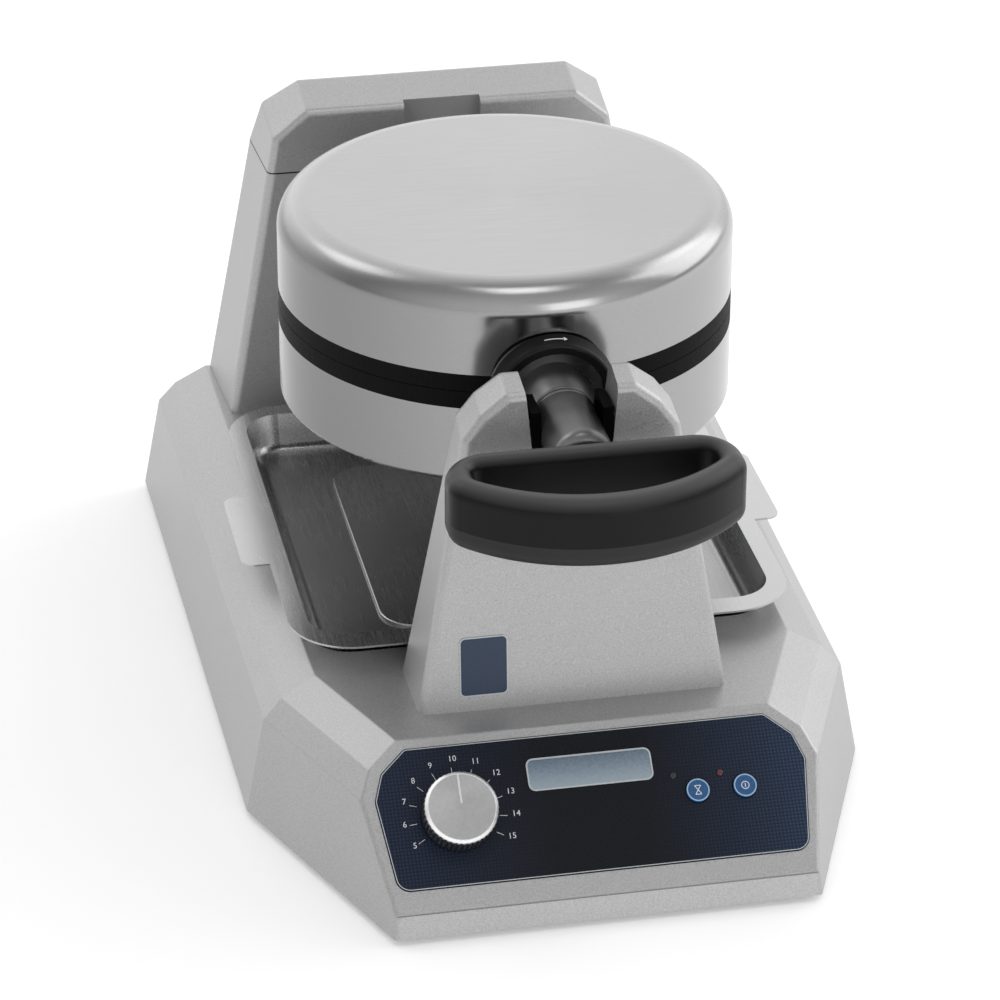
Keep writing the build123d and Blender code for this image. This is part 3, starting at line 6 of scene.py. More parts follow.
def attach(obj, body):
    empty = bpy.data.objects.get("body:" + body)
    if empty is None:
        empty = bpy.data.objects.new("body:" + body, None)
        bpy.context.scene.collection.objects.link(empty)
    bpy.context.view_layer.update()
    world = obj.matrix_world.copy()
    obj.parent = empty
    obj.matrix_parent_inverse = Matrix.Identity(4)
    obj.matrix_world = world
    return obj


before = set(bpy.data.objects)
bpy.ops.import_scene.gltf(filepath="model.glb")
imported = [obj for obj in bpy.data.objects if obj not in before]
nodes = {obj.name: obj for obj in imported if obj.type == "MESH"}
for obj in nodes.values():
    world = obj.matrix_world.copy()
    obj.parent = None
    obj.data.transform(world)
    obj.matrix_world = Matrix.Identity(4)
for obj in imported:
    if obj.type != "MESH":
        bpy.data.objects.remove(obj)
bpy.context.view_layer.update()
MM = 0.001
ACROSS = (1, 0, 0)
UPWARD = (0, 0, 1)
BLACK = (0.0, 0.0, 0.0)

# Measures of the solids, in millimetres: depth from the front edge, rise from the base's underside
base_length = 424.0
foot_rise = 3.0
deck_rise = 60.2
axis_rise = 180.0
tower_seam_rise = axis_rise + 1.0
tray_flange_rise = 70.0

# The head, the lock collar and the stem of the handle
head_depth = 225.7
head_radius = 99.0
lid_top_rise = 227.8
collar_depths = (118.0, 125.6)
collar_radii = (25.4, 27.2)
stem_radius = 13.0
funnel_narrow_depth = 105.0

# The cradle's front face
cradle_depth = 74.7
cradle_lean = 0.0824

# The slanted control panel: places on it are (x, s), with s measured up the slope
skirt_rise = 9.9
skirt_lean = 2.6
panel_slope = radians(42.65)
panel_face = 0.4
panel_corners = ((86.6, 10.0, 6.0), (91.3, 49.0, 3.0), (87.4, 60.3, 3.0), (76.5, 70.0, 3.0))
knob_place = (-58.0, 39.7)
knob_rim_radius = 13.8
knob_wall_radius = 15.0
start_place = (43.4, 39.7)
standby_place = (63.6, 39.7)
button_rise = 1.4

# Prints and thin plates
print_lift = 0.02
print_height = 0.08
border_insets = (0.2, 0.55)
border_height = 0.12
dial_numbers = range(5, 16)
dial_top_number = 10
dial_step = radians(24)
dial_number_size = 3.5
dial_number_reach = 23.5
dial_number_shift = (0.9, 0.8)
dial_tick_reach = (17.4, 20.6)
dial_tick_half_width = 0.11
name_plate_box = (-27.0, 26.0, 46.5, 60.5)
name_plate_corners = (3.0, 2.4)
name_plate_height = 0.35
name_plate_rim_height = 0.25
name_plate_rim_width = 0.7
button_ring_radii = (4.85, 4.3)
hourglass_half_width = 1.3
hourglass_half_height = 1.9
hourglass_stroke = 0.34
standby_ring_radii = (1.75, 1.4)
standby_bar_half_height = 0.85
standby_bar_width = 0.4
badge_box = (-48.8, -28.1, 6.8, 34.0)
badge_corners = (2.6, 2.0)
badge_height = 0.2
badge_rim_height = 0.06
badge_rim_width = 0.6
arrow_depth = 122.3
arrow_reach = radians(9)
arrow_tip_length = radians(3.4)
arrow_half_width = 0.22
arrow_tip_half_width = 1.1
arrow_point_half_width = 0.05
arrow_lift = 0.1
stem_ring_shifts = (1.2, 3.8)
stem_ring_width = 1.3
stem_ring_height = 0.55


# Placing

def place(x, depth, rise):
    """Row-frame point, in metres, of a place in the solids' own measures."""
    return Vector((x, depth - base_length / 2, rise + foot_rise)) * MM


class Face:
    """A flat face of the object: x runs across it, s up along it, and lift goes out of it, in millimetres."""

    def __init__(self, origin, lean):
        """lean is the angle of the face from upright, in radians."""
        self.origin = origin
        self.right = Vector((1, 0, 0))
        self.up = Vector((0, sin(lean), cos(lean)))
        self.out = Vector((0, -cos(lean), sin(lean)))

    def at(self, x, s, lift=0.0):
        """Row-frame point, in metres, of a place on the face."""
        return self.origin + (self.right * x + self.up * s + self.out * lift) * MM

    def matrix(self, x, s, lift):
        """Placing of a flat thing on the face, its own z pointing out of it."""
        basis = Matrix((self.right, self.up, self.out)).transposed().to_4x4()
        return Matrix.Translation(self.at(x, s, lift)) @ basis


panel = Face(place(0, skirt_lean, skirt_rise), pi / 2 - panel_slope)
cradle_face = Face(place(0, cradle_depth, deck_rise), cradle_lean)


def in_scene(name, data):
    """A new object put in the scene."""
    obj = bpy.data.objects.new(name, data)
    bpy.context.scene.collection.objects.link(obj)
    return obj


def keep(obj, body):
    """A finished piece: it rides on a body."""
    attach(obj, body)
    return obj


def mesh_piece(name, vertices, faces, material, body, smooth=False):
    """A finished piece made from points and faces."""
    mesh = bpy.data.meshes.new(name)
    mesh.from_pydata([tuple(v) for v in vertices], [], faces)
    mesh.validate()
    mesh.materials.append(material)
    obj = in_scene(name, mesh)
    if smooth:
        mesh.shade_smooth()
    return keep(obj, body)


# Shader building

class Shader:
    """A material with one principled shader, and short ways to add nodes to it."""

    def __init__(self, name, color, metallic=0.0, roughness=0.5, **sockets):
        self.material = bpy.data.materials.new(name)
        self.material.use_nodes = True
        self.tree = self.material.node_tree
        self.shader = self.tree.nodes["Principled BSDF"]
        self.set("Base Color", (*color, 1))
        self.set("Metallic", metallic)
        self.set("Roughness", roughness)
        for socket, value in sockets.items():
            self.set(socket.replace("_", " "), value)
        own = self.node("ShaderNodeTexCoord")
        self.coordinates = own.outputs["Object"]
        self.normals = own.outputs["Normal"]

    def set(self, socket, value):
        self.shader.inputs[socket].default_value = value

    def node(self, kind, **values):
        made = self.tree.nodes.new(kind)
        for key, value in values.items():
            setattr(made, key, value)
        return made

    def link(self, source, target):
        self.tree.links.new(source, target)

    def scaled(self, stretch):
        """Object coordinates stretched along each axis."""
        sized = self.node("ShaderNodeMapping", vector_type="POINT")
        sized.inputs["Scale"].default_value = stretch
        self.link(self.coordinates, sized.inputs["Vector"])
        return sized.outputs["Vector"]

    def along(self, direction, start=0.0):
        """Distance along a direction of the object, counted from a start."""
        return self.math("SUBTRACT", self.dot(self.coordinates, direction), start)

    def noise(self, vector, scale, detail=2.0, roughness=0.5):
        """Even random mottle, about a half at its middle."""
        made = self.node("ShaderNodeTexNoise")
        made.inputs["Scale"].default_value = scale
        made.inputs["Detail"].default_value = detail
        made.inputs["Roughness"].default_value = roughness
        self.link(vector, made.inputs["Vector"])
        return made.outputs["Fac"]

    def ramp(self, value, low, high, from_low=0.35, from_high=0.65):
        """A value spread from one range to another."""
        made = self.node("ShaderNodeMapRange")
        made.inputs["From Min"].default_value = from_low
        made.inputs["From Max"].default_value = from_high
        made.inputs["To Min"].default_value = low
        made.inputs["To Max"].default_value = high
        self.link(value, made.inputs["Value"])
        return made.outputs["Result"]

    def mix(self, factor, first, second):
        """Two colours, or a colour and another colour's socket, mixed by a value."""
        made = self.node("ShaderNodeMix", data_type="RGBA")
        self.link(factor, made.inputs[0])
        for socket, color in ((made.inputs[6], first), (made.inputs[7], second)):
            if isinstance(color, tuple):
                socket.default_value = (*color, 1)
            else:
                self.link(color, socket)
        return made.outputs[2]

    def math(self, operation, first, second=0.0):
        """One sum, its two values given as numbers or sockets."""
        made = self.node("ShaderNodeMath", operation=operation)
        for socket, value in ((made.inputs[0], first), (made.inputs[1], second)):
            if isinstance(value, (int, float)):
                socket.default_value = value
            else:
                self.link(value, socket)
        return made.outputs[0]

    def dot(self, vector, direction):
        """How far a vector goes along a direction."""
        made = self.node("ShaderNodeVectorMath", operation="DOT_PRODUCT")
        self.link(vector, made.inputs[0])
        made.inputs[1].default_value = direction
        return made.outputs["Value"]

    def bump(self, height, strength, distance):
        """Fine relief on the surface."""
        made = self.node("ShaderNodeBump")
        made.inputs["Strength"].default_value = strength
        made.inputs["Distance"].default_value = distance
        self.link(height, made.inputs["Height"])
        self.link(made.outputs["Normal"], self.shader.inputs["Normal"])

    def color_from(self, socket):
        self.link(socket, self.shader.inputs["Base Color"])

    def roughness_from(self, socket):
        self.link(socket, self.shader.inputs["Roughness"])


# Materials

def silver_paint(name, split_rise=None):
    """Satin silver paint with a fine sparkle on die-cast aluminium, with a painted shadow line at a split
    between castings.
    """
    look = Shader(name, (0.43, 0.43, 0.433), metallic=0.7, roughness=0.42)
    grain = look.noise(look.coordinates, 2000, detail=3.0)
    cloud = look.noise(look.coordinates, 14, detail=4.0)
    fine = look.ramp(grain, 0.0, 1.0)
    fleck = look.mix(fine, (0.36, 0.36, 0.363), (0.50, 0.50, 0.503))
    paint = look.mix(look.ramp(cloud, 0.0, 0.12), fleck, (0.52, 0.52, 0.52))
    if split_rise is not None:
        # painted shadow line: nearly black within 0.25 mm of the split, fading out by 0.5 mm
        away = look.math("ABSOLUTE", look.along(UPWARD, (split_rise + foot_rise) * MM))
        paint = look.mix(look.ramp(away, 0.0, 1.0, 0.25 * MM, 0.5 * MM), (0.02, 0.02, 0.02), paint)
    look.color_from(paint)
    look.roughness_from(look.ramp(grain, 0.36, 0.48))
    look.bump(grain, 0.15, 0.0004)
    return look.material


def brushed_steel(name, color, roughness, streaks, strength=0.02):
    """Stainless sheet with long fine streaks, and the streaked colour for further mixing."""
    look = Shader(name, color, metallic=1.0, roughness=roughness, Anisotropic=0.3)
    streak = look.noise(look.scaled(streaks), 1.0, detail=4.0, roughness=0.6)
    cloud = look.noise(look.coordinates, 9, detail=3.0)
    dark = tuple(part * 0.95 for part in color)
    brushed = look.mix(look.ramp(streak, 0.0, 1.0), dark, color)
    uneven = look.ramp(cloud, -0.03, 0.03)
    look.roughness_from(look.math("ADD", look.ramp(streak, roughness - 0.03, roughness + 0.03), uneven))
    look.bump(streak, strength, 0.0001)
    return look, brushed


def head_steel():
    """Brushed sheet of the head, with painted light and shade: its top is painted bright, and its wall
    painted darker, most of all on one side (−x).
    """
    look, brushed = brushed_steel("head_steel", (0.46, 0.46, 0.465), 0.27, (40, 1500, 1500))
    # painted shade: the wall keeps 0.8 of the brushed colour, falling to 0.48 towards the −x side, in place
    # of a dark reflection
    side = look.ramp(look.along(ACROSS), 0.48, 0.80, -head_radius * MM, -20 * MM)
    below_top = look.along(UPWARD, (lid_top_rise + foot_rise) * MM)
    top = look.ramp(below_top, 0.0, 1.0, -13 * MM, -2 * MM)
    # painted light: the top keeps 0.92 of the brushed colour, brighter than the wall
    painted_light_level = look.math("MAXIMUM", look.math("MULTIPLY", top, 0.92), side)
    look.color_from(look.mix(painted_light_level, BLACK, brushed))
    haze = look.noise(look.coordinates, 12, detail=3.0)
    look.roughness_from(look.math("ADD", look.ramp(top, 0.15, 0.25, 0.0, 1.0), look.ramp(haze, 0.0, 0.04)))
    return look.material


def drawn_tray_steel():
    """Brushed sheet of the tray, with painted shade that makes it darker inside the well than on the flange.
    """
    look, brushed = brushed_steel("tray_steel", (0.52, 0.52, 0.525), 0.27, (900, 30, 900), strength=0.005)
    below_flange = look.along(UPWARD, (tray_flange_rise + foot_rise) * MM)
    # painted shade: below the flange the well is darkened, down to 0.72 of the brushed colour
    painted_light_level = look.ramp(below_flange, 0.72, 1.0, -8 * MM, -2 * MM)
    look.color_from(look.mix(painted_light_level, BLACK, brushed))
    return look.material


def black_moulding(name, color, roughness, grain_scale, grain_strength, shine, painted_sheen=0.0):
    """Heat-proof moulding with a fine spark-eroded grain, and a painted sheen that makes it paler where it
    faces up.
    """
    look = Shader(name, color, roughness=roughness, Specular_IOR_Level=shine)
    grain = look.noise(look.coordinates, grain_scale, detail=3.0)
    cloud = look.noise(look.coordinates, 30, detail=4.0)
    light = tuple(part * 1.5 + 0.001 for part in color)
    base = look.mix(look.ramp(cloud, 0.0, 0.5), color, light)
    # painted sheen: faces turned up are made paler, by as much as the sheen given
    facing = look.dot(look.normals, UPWARD)
    painted_sheen_mask = look.ramp(facing, 0.0, 1.0, 0.35, 1.0)
    look.color_from(look.mix(painted_sheen_mask, base, tuple(part + painted_sheen for part in color)))
    look.roughness_from(look.ramp(cloud, roughness - 0.05, roughness + 0.07))
    look.bump(grain, grain_strength, 0.0003)
    return look.material


def band_moulding():
    """The black band: fine upright ribs all round the head's rim, with painted light on the rib tops and
    painted shade in the grooves.
    """
    look = Shader("black_band", (0.004, 0.004, 0.004), roughness=0.5, Specular_IOR_Level=0.04)
    centre = place(0, head_depth, axis_rise)
    angle = look.math("ARCTAN2", look.along((0, 1, 0), centre.y), look.along(ACROSS, centre.x))
    rib_count = 620.0
    ribs = look.math("SINE", look.math("MULTIPLY", angle, rib_count))
    grain = look.noise(look.coordinates, 1800)
    height = look.math("ADD", look.math("MULTIPLY", ribs, 0.5), grain)
    # painted light and shade: the colour is paler on the rib tops and darker in the grooves between them
    painted_crest_light = look.ramp(ribs, 0.0, 1.0, -1.0, 1.0)
    look.color_from(look.mix(painted_crest_light, (0.003, 0.003, 0.003), (0.009, 0.009, 0.009)))
    look.roughness_from(look.ramp(grain, 0.42, 0.6))
    look.bump(height, 0.12, 0.0002)
    return look.material


def grey_casting():
    """Dark grey satin stem, smooth with a little mottle, and painted light and shade: paler where it faces
    left, darker where it faces right.
    """
    look = Shader("grey_casting", (0.09, 0.09, 0.092), metallic=0.85, roughness=0.3)
    cloud = look.noise(look.coordinates, 45, detail=5.0)
    grain = look.noise(look.coordinates, 1500)
    # painted light and shade: faces turned towards −x get the paler tone, faces turned towards +x the darker
    # one
    left = look.ramp(look.dot(look.normals, (-1, 0, 0)), 0.0, 1.0, -0.7, 0.5)
    dull = look.mix(look.ramp(cloud, 0.0, 1.0), (0.045, 0.045, 0.046), (0.07, 0.07, 0.072))
    pale = look.mix(look.ramp(cloud, 0.0, 1.0), (0.17, 0.17, 0.172), (0.23, 0.23, 0.233))
    look.color_from(look.mix(left, dull, pale))
    look.roughness_from(look.ramp(cloud, 0.27, 0.36))
    look.bump(grain, 0.08, 0.0002)
    return look.material


def panel_film():
    """Printed film: a grid of small navy squares that fades to black at the middle."""
    look = Shader("panel_film", (0.01, 0.013, 0.03), roughness=0.34, Specular_IOR_Level=0.16)
    across = look.along(ACROSS)
    slope = look.along(panel.up)
    pitch = 1.5 * MM
    cells = []
    for value in (across, slope):
        share = look.math("FRACT", look.math("MULTIPLY", value, 1 / pitch))
        away = look.math("ABSOLUTE", look.math("SUBTRACT", share, 0.5))
        cells.append(look.ramp(away, 1.0, 0.0, 0.22, 0.42))
    square = look.math("MULTIPLY", cells[0], cells[1])
    fade = look.ramp(look.math("ABSOLUTE", across), 0.0, 1.0, 18 * MM, 88 * MM)
    dim = look.mix(square, (0.008, 0.012, 0.026), (0.019, 0.031, 0.064))
    paler = look.mix(square, (0.016, 0.027, 0.052), (0.036, 0.060, 0.112))
    navy = look.mix(look.ramp(across, 0.0, 1.0, 20 * MM, 110 * MM), dim, paler)
    look.color_from(look.mix(fade, (0.006, 0.007, 0.010), navy))
    grain = look.noise(look.coordinates, 900)
    look.roughness_from(look.ramp(grain, 0.26, 0.36))
    look.bump(square, 0.05, 0.0001)
    return look.material


def turned_aluminium(name, color, roughness):
    """Knob metal: fine turning marks about the knob's own axis, with a painted highlight on the chamfer ring
    and painted shade on the side wall.
    """
    look = Shader(name, color, metallic=1.0, roughness=roughness, Anisotropic=0.3)
    centre = panel.at(*knob_place)
    across = look.along(ACROSS, centre.x)
    slope = look.along(panel.up, centre.dot(panel.up))
    squares = [look.math("MULTIPLY", value, value) for value in (across, slope)]
    radius = look.math("SQRT", look.math("ADD", *squares))
    mark_rate = 14000.0
    marks = look.math("SINE", look.math("MULTIPLY", radius, mark_rate))
    grain = look.noise(look.coordinates, 700)
    face_color = look.mix(look.ramp(grain, 0.0, 1.0), tuple(part * 0.93 for part in color), color)
    # painted highlight: a nearly white ring just outside the rim radius
    rim = look.ramp(radius, 0.0, 1.0, knob_rim_radius * MM, (knob_rim_radius + 0.2) * MM)
    rimmed = look.mix(rim, face_color, (0.95, 0.95, 0.95))
    # painted shade: the side wall is darkened to 0.35 of the metal's colour
    side = look.ramp(radius, 0.0, 1.0, knob_wall_radius * MM, (knob_wall_radius + 0.4) * MM)
    look.color_from(look.mix(side, rimmed, tuple(part * 0.35 for part in color)))
    look.roughness_from(look.ramp(grain, roughness - 0.03, roughness + 0.05))
    look.bump(marks, 0.03, 0.0001)
    return look.material


def shaded_plate():
    """Bare metal plate of the panel, dark blue at its top and paler below."""
    look = Shader("shaded_plate", (0.2, 0.28, 0.36), metallic=0.6, roughness=0.36)
    low, high = (panel.at(0, s).dot(panel.up) for s in name_plate_box[2:])
    rise = look.ramp(look.along(panel.up), 0.0, 1.0, low, high)
    grain = look.noise(look.coordinates, 900)
    shade = look.mix(rise, (0.34, 0.41, 0.47), (0.10, 0.15, 0.21))
    look.color_from(look.mix(look.ramp(grain, 0.0, 0.15), shade, (0.5, 0.55, 0.6)))
    look.roughness_from(look.ramp(grain, 0.33, 0.40))
    look.bump(grain, 0.02, 0.0001)
    return look.material


def plain(name, color, metallic=0.0, roughness=0.5, grain=400, strength=0.08, **sockets):
    """A simple finish with a little grain in its colour, roughness and surface."""
    look = Shader(name, color, metallic=metallic, roughness=roughness, **sockets)
    noise = look.noise(look.coordinates, grain, detail=3.0)
    dark = tuple(part * 0.88 for part in color)
    light = tuple(min(part * 1.08, 1) for part in color)
    look.color_from(look.mix(look.ramp(noise, 0.0, 1.0), dark, light))
    look.roughness_from(look.ramp(noise, max(roughness - 0.04, 0.02), min(roughness + 0.06, 1)))
    look.bump(noise, strength, 0.0002)
    return look.material


silver = silver_paint("silver_paint")
tower_silver = silver_paint("tower_paint", tower_seam_rise)
lid_steel = head_steel()
tray_steel = drawn_tray_steel()
band = band_moulding()
# painted sheen on the handle's upward faces
handle_black = black_moulding("handle_black", (0.005, 0.005, 0.005), 0.36, 1500, 0.05,
                              shine=0.16, painted_sheen=0.065)
handle_grey = black_moulding("handle_grey", (0.018, 0.018, 0.018), 0.46, 1500, 0.08, shine=0.22)
collar_black = black_moulding("collar_black", (0.003, 0.003, 0.003), 0.36, 1500, 0.05, shine=0.22)
bearing_black = black_moulding("bearing_black", (0.0015, 0.0015, 0.0015), 0.5, 1200, 0.06, shine=0.03)
stem_grey = grey_casting()
film = panel_film()
knob_metal = turned_aluminium("knob_metal", (0.5, 0.5, 0.505), 0.34)
nonstick = plain("nonstick", (0.035, 0.035, 0.037), metallic=0.25, roughness=0.42, grain=900, strength=0.12)
screw_metal = plain("screw_metal", (0.5, 0.5, 0.52), metallic=1.0, roughness=0.35, grain=900)
shaft_metal = plain("shaft_metal", (0.62, 0.62, 0.64), metallic=1.0, roughness=0.18, grain=500, strength=0.03)
bronze = plain("bronze", (0.55, 0.36, 0.16), metallic=1.0, roughness=0.4, grain=1200)
rubber = plain("rubber", (0.02, 0.02, 0.02), roughness=0.8, grain=1200, strength=0.15)
board_green = plain("board_green", (0.02, 0.16, 0.06), roughness=0.4, grain=300)
sheet_metal = plain("sheet_metal", (0.5, 0.5, 0.51), metallic=0.9, roughness=0.4, grain=160)
bracket_grey = plain("bracket_grey", (0.22, 0.22, 0.225), metallic=0.6, roughness=0.42, grain=1400,
                     strength=0.14)
cast_bare = plain("cast_bare", (0.6, 0.6, 0.61), metallic=0.9, roughness=0.5, grain=700, strength=0.15)
dark_tube = plain("dark_tube", (0.16, 0.15, 0.14), metallic=0.9, roughness=0.45, grain=500)
wool = plain("wool", (0.75, 0.73, 0.68), roughness=0.95, grain=250, strength=0.5)
part_black = plain("part_black", (0.015, 0.015, 0.016), roughness=0.5, grain=900)
part_white = plain("part_white", (0.8, 0.8, 0.77), roughness=0.45, grain=900)
print_white = plain("print_white", (0.66, 0.68, 0.71), roughness=0.5, grain=2000, strength=0.02)
border_light = plain("border_light", (0.48, 0.51, 0.52), metallic=0.3, roughness=0.4, grain=2000,
                     strength=0.02)
ring_blue = plain("ring_blue", (0.30, 0.46, 0.62), roughness=0.45, grain=2000, strength=0.02)
button_blue = plain("button_blue", (0.006, 0.075, 0.22), roughness=0.28, grain=900, strength=0.03,
                    Coat_Weight=0.3, Coat_Roughness=0.1)
lens_dark = plain("lens_dark", (0.010, 0.010, 0.012), roughness=0.45, grain=900, strength=0.02,
                  Coat_Weight=0.4, Coat_Roughness=0.08)
lens_red = plain("lens_red", (0.075, 0.010, 0.008), roughness=0.4, grain=900, strength=0.02,
                 Coat_Weight=0.5, Coat_Roughness=0.05)
plate_blue = shaded_plate()
badge_navy = plain("badge_navy", (0.014, 0.032, 0.07), roughness=0.4, grain=900, strength=0.02)

finishes = {
    silver: ["base_housing", "front_cradle"],
    tower_silver: ["rear_tower", "tower_cap"],
    lid_steel: ["lid_shell", "lower_shell"],
    tray_steel: ["drip_tray"],
    band: ["upper_trim_ring", "lower_trim_ring"],
    handle_black: ["handle_upper_half"],
    handle_grey: ["handle_lower_half"],
    collar_black: ["lock_collar", "lock_keeper"],
    bearing_black: ["cradle_bearing"],
    stem_grey: ["handle_stem"],
    film: ["control_panel"],
    knob_metal: ["timer_knob"],
    nonstick: ["upper_plate", "lower_plate"],
    screw_metal: ["base_plate_screws", "bearing_screws", "cradle_bolts", "tower_cap_screws", "tower_bolts",
                  "rotor_retaining_ring", "rotation_stop_pin", "bracket_bolts", "lower_plate_screws",
                  "upper_plate_screws", "keeper_screws", "hinge_arm_screws", "stem_screws", "handle_screws",
                  "timer_shaft"],
    shaft_metal: ["rotor_shaft", "hinge_pin"],
    bronze: ["rotor_bushes"],
    rubber: ["rubber_feet"],
    board_green: ["control_board", "power_board"],
    sheet_metal: ["base_plate"],
    bracket_grey: ["hinge_bracket", "lid_hinge_arm"],
    cast_bare: ["bearing_pedestal", "lower_thermostat", "upper_thermostat"],
    dark_tube: ["lower_heating_element", "upper_heating_element"],
    wool: ["lower_insulation", "upper_insulation"],
    part_black: ["timer_potentiometer", "tact_switches", "power_relay", "cord_gland"],
    part_white: ["terminal_block"],
    print_white: ["knob_pointer"],
    button_blue: ["start_button", "standby_button"],
    lens_dark: ["ready_light_lens"],
    lens_red: ["power_light_lens"],
}


def dress_solids():
    """Give every solid its finish."""
    for material, names in finishes.items():
        for name in names:
            obj = nodes[name]
            obj.data.materials.clear()
            obj.data.materials.append(material)
    left = sorted(set(nodes) - {name for names in finishes.values() for name in names})
    assert not left, f"no finish for {left}"


dress_solids()


# Outlines and thin pieces on a face

def panel_outline(inset, steps=6):
    """Points (x, s) round the control panel, its corners rounded, moved inward by an inset."""
    right = [Vector((x, s)) for x, s, _ in panel_corners]
    left = [Vector((-x, s)) for x, s, _ in reversed(panel_corners)]
    radii = [radius for _, _, radius in panel_corners]
    radii += radii[::-1]
    corners = right + left
    points = []
    count = len(corners)
    for index, corner in enumerate(corners):
        before = (corners[index - 1] - corner).normalized()
        after = (corners[(index + 1) % count] - corner).normalized()
        half = before.angle(after) / 2
        middle = (before + after).normalized()
        centre = corner + middle * (radii[index] / sin(half))
        start = corner + before * (radii[index] / tan(half))
        end = corner + after * (radii[index] / tan(half))
        angle0 = atan2(start.y - centre.y, start.x - centre.x)
        angle1 = atan2(end.y - centre.y, end.x - centre.x)
        turn = (angle1 - angle0 + pi) % (2 * pi) - pi
        for step in range(steps + 1):
            angle = angle0 + turn * step / steps
            radius = radii[index] - inset
            points.append(centre + Vector((cos(angle), sin(angle))) * radius)
    return points


def flat_ring(name, face, outer, inner, low, high, material, body):
    """Raised strip on a face between two outlines with as many points."""
    vertices = []
    for outline, lift in ((outer, low), (outer, high), (inner, high), (inner, low)):
        vertices += [face.at(x, s, lift) for x, s in outline]
    count = len(outer)
    faces = []
    for row in range(4):
        for index in range(count):
            following = (index + 1) % count
            next_row = (row + 1) % 4
            faces.append((row * count + index, row * count + following,
                          next_row * count + following, next_row * count + index))
    return mesh_piece(name, vertices, faces, material, body)


def flat_plate(name, face, outline, low, high, material, body):
    """Raised flat plate on a face."""
    count = len(outline)
    vertices = [face.at(x, s, low) for x, s in outline] + [face.at(x, s, high) for x, s in outline]
    faces = [tuple(range(count))[::-1], tuple(range(count, 2 * count))]
    for index in range(count):
        following = (index + 1) % count
        faces.append((index, following, count + following, count + index))
    return mesh_piece(name, vertices, faces, material, body)


def circle_points(centre, radius, steps=48):
    """Points round a circle on a face."""
    points = []
    for k in range(steps):
        angle = 2 * pi * k / steps
        points.append(Vector((centre[0] + radius * cos(angle), centre[1] + radius * sin(angle))))
    return points


def rounded_rectangle(box, radius, inset=0.0, steps=6):
    """Points round a box (x from and to, s from and to) that is made smaller by an inset."""
    x0, x1, s0, s1 = box
    x0 += inset
    x1 -= inset
    s0 += inset
    s1 -= inset
    points = []
    for cx, cs, start in ((x1 - radius, s0 + radius, -90), (x1 - radius, s1 - radius, 0),
                          (x0 + radius, s1 - radius, 90), (x0 + radius, s0 + radius, 180)):
        for step in range(steps + 1):
            angle = radians(start + 90 * step / steps)
            points.append(Vector((cx + radius * cos(angle), cs + radius * sin(angle))))
    return points


def text_piece(name, words, size, x, s, material, body, lift):
    """Printed characters on the panel, centred on a place."""
    curve = bpy.data.curves.new(name, "FONT")
    curve.body = words
    curve.size = size * MM
    curve.align_x = "CENTER"
    curve.align_y = "CENTER"
    curve.extrude = print_height * MM / 2
    curve.resolution_u = 4
    curve.space_character = 1.05
    source = in_scene(name + "_source", curve)
    bpy.context.view_layer.update()
    mesh = bpy.data.meshes.new_from_object(source.evaluated_get(bpy.context.evaluated_depsgraph_get()))
    bpy.data.objects.remove(source)
    mesh.name = name
    mesh.materials.clear()
    mesh.materials.append(material)
    mesh.transform(panel.matrix(x, s, lift + print_height / 2))
    return keep(in_scene(name, mesh), body)


# Control panel prints

def make_dial():
    """Plain numbers round the knob, with a tick line inside each."""
    low = panel_face + print_lift
    middle = Vector(knob_place)
    for number in dial_numbers:
        angle = (number - dial_top_number) * dial_step
        direction = Vector((sin(angle), cos(angle)))
        centre = middle + Vector(dial_number_shift) + direction * dial_number_reach
        text_piece(f"dial_number_{number}", str(number), dial_number_size, centre.x, centre.y, print_white,
                   "base", low)
        start, end = (middle + direction * reach for reach in dial_tick_reach)
        side = Vector((direction.y, -direction.x)) * dial_tick_half_width
        outline = [start - side, start + side, end + side, end - side]
        flat_plate(f"dial_tick_{number}", panel, outline, low, low + print_height, print_white, "base")


def make_panel_border():
    """Thin pale line along the edge of the panel."""
    outer, inner = (panel_outline(inset) for inset in border_insets)
    low = panel_face + print_lift
    flat_ring("panel_border", panel, outer, inner, low, low + border_height, border_light, "base")


def make_name_plate():
    """Bare plate in the upper middle of the panel, with a thin bright rim."""
    low = panel_face + print_lift
    high = low + name_plate_height
    corner, inner_corner = name_plate_corners
    outline = rounded_rectangle(name_plate_box, corner)
    inner = rounded_rectangle(name_plate_box, inner_corner, name_plate_rim_width)
    flat_plate("name_plate", panel, outline, low, high, plate_blue, "base")
    flat_ring("name_plate_rim", panel, outline, inner, high, high + name_plate_rim_height, border_light,
              "base")


def stroke(name, face, start, end, width, low, high, body):
    """Straight printed line between two places on a face."""
    start = Vector(start)
    end = Vector(end)
    along = (end - start).normalized()
    side = Vector((-along.y, along.x)) * (width / 2)
    outline = [start - side, end - side, end + side, start + side]
    flat_plate(name, face, outline, low, high, print_white, body)


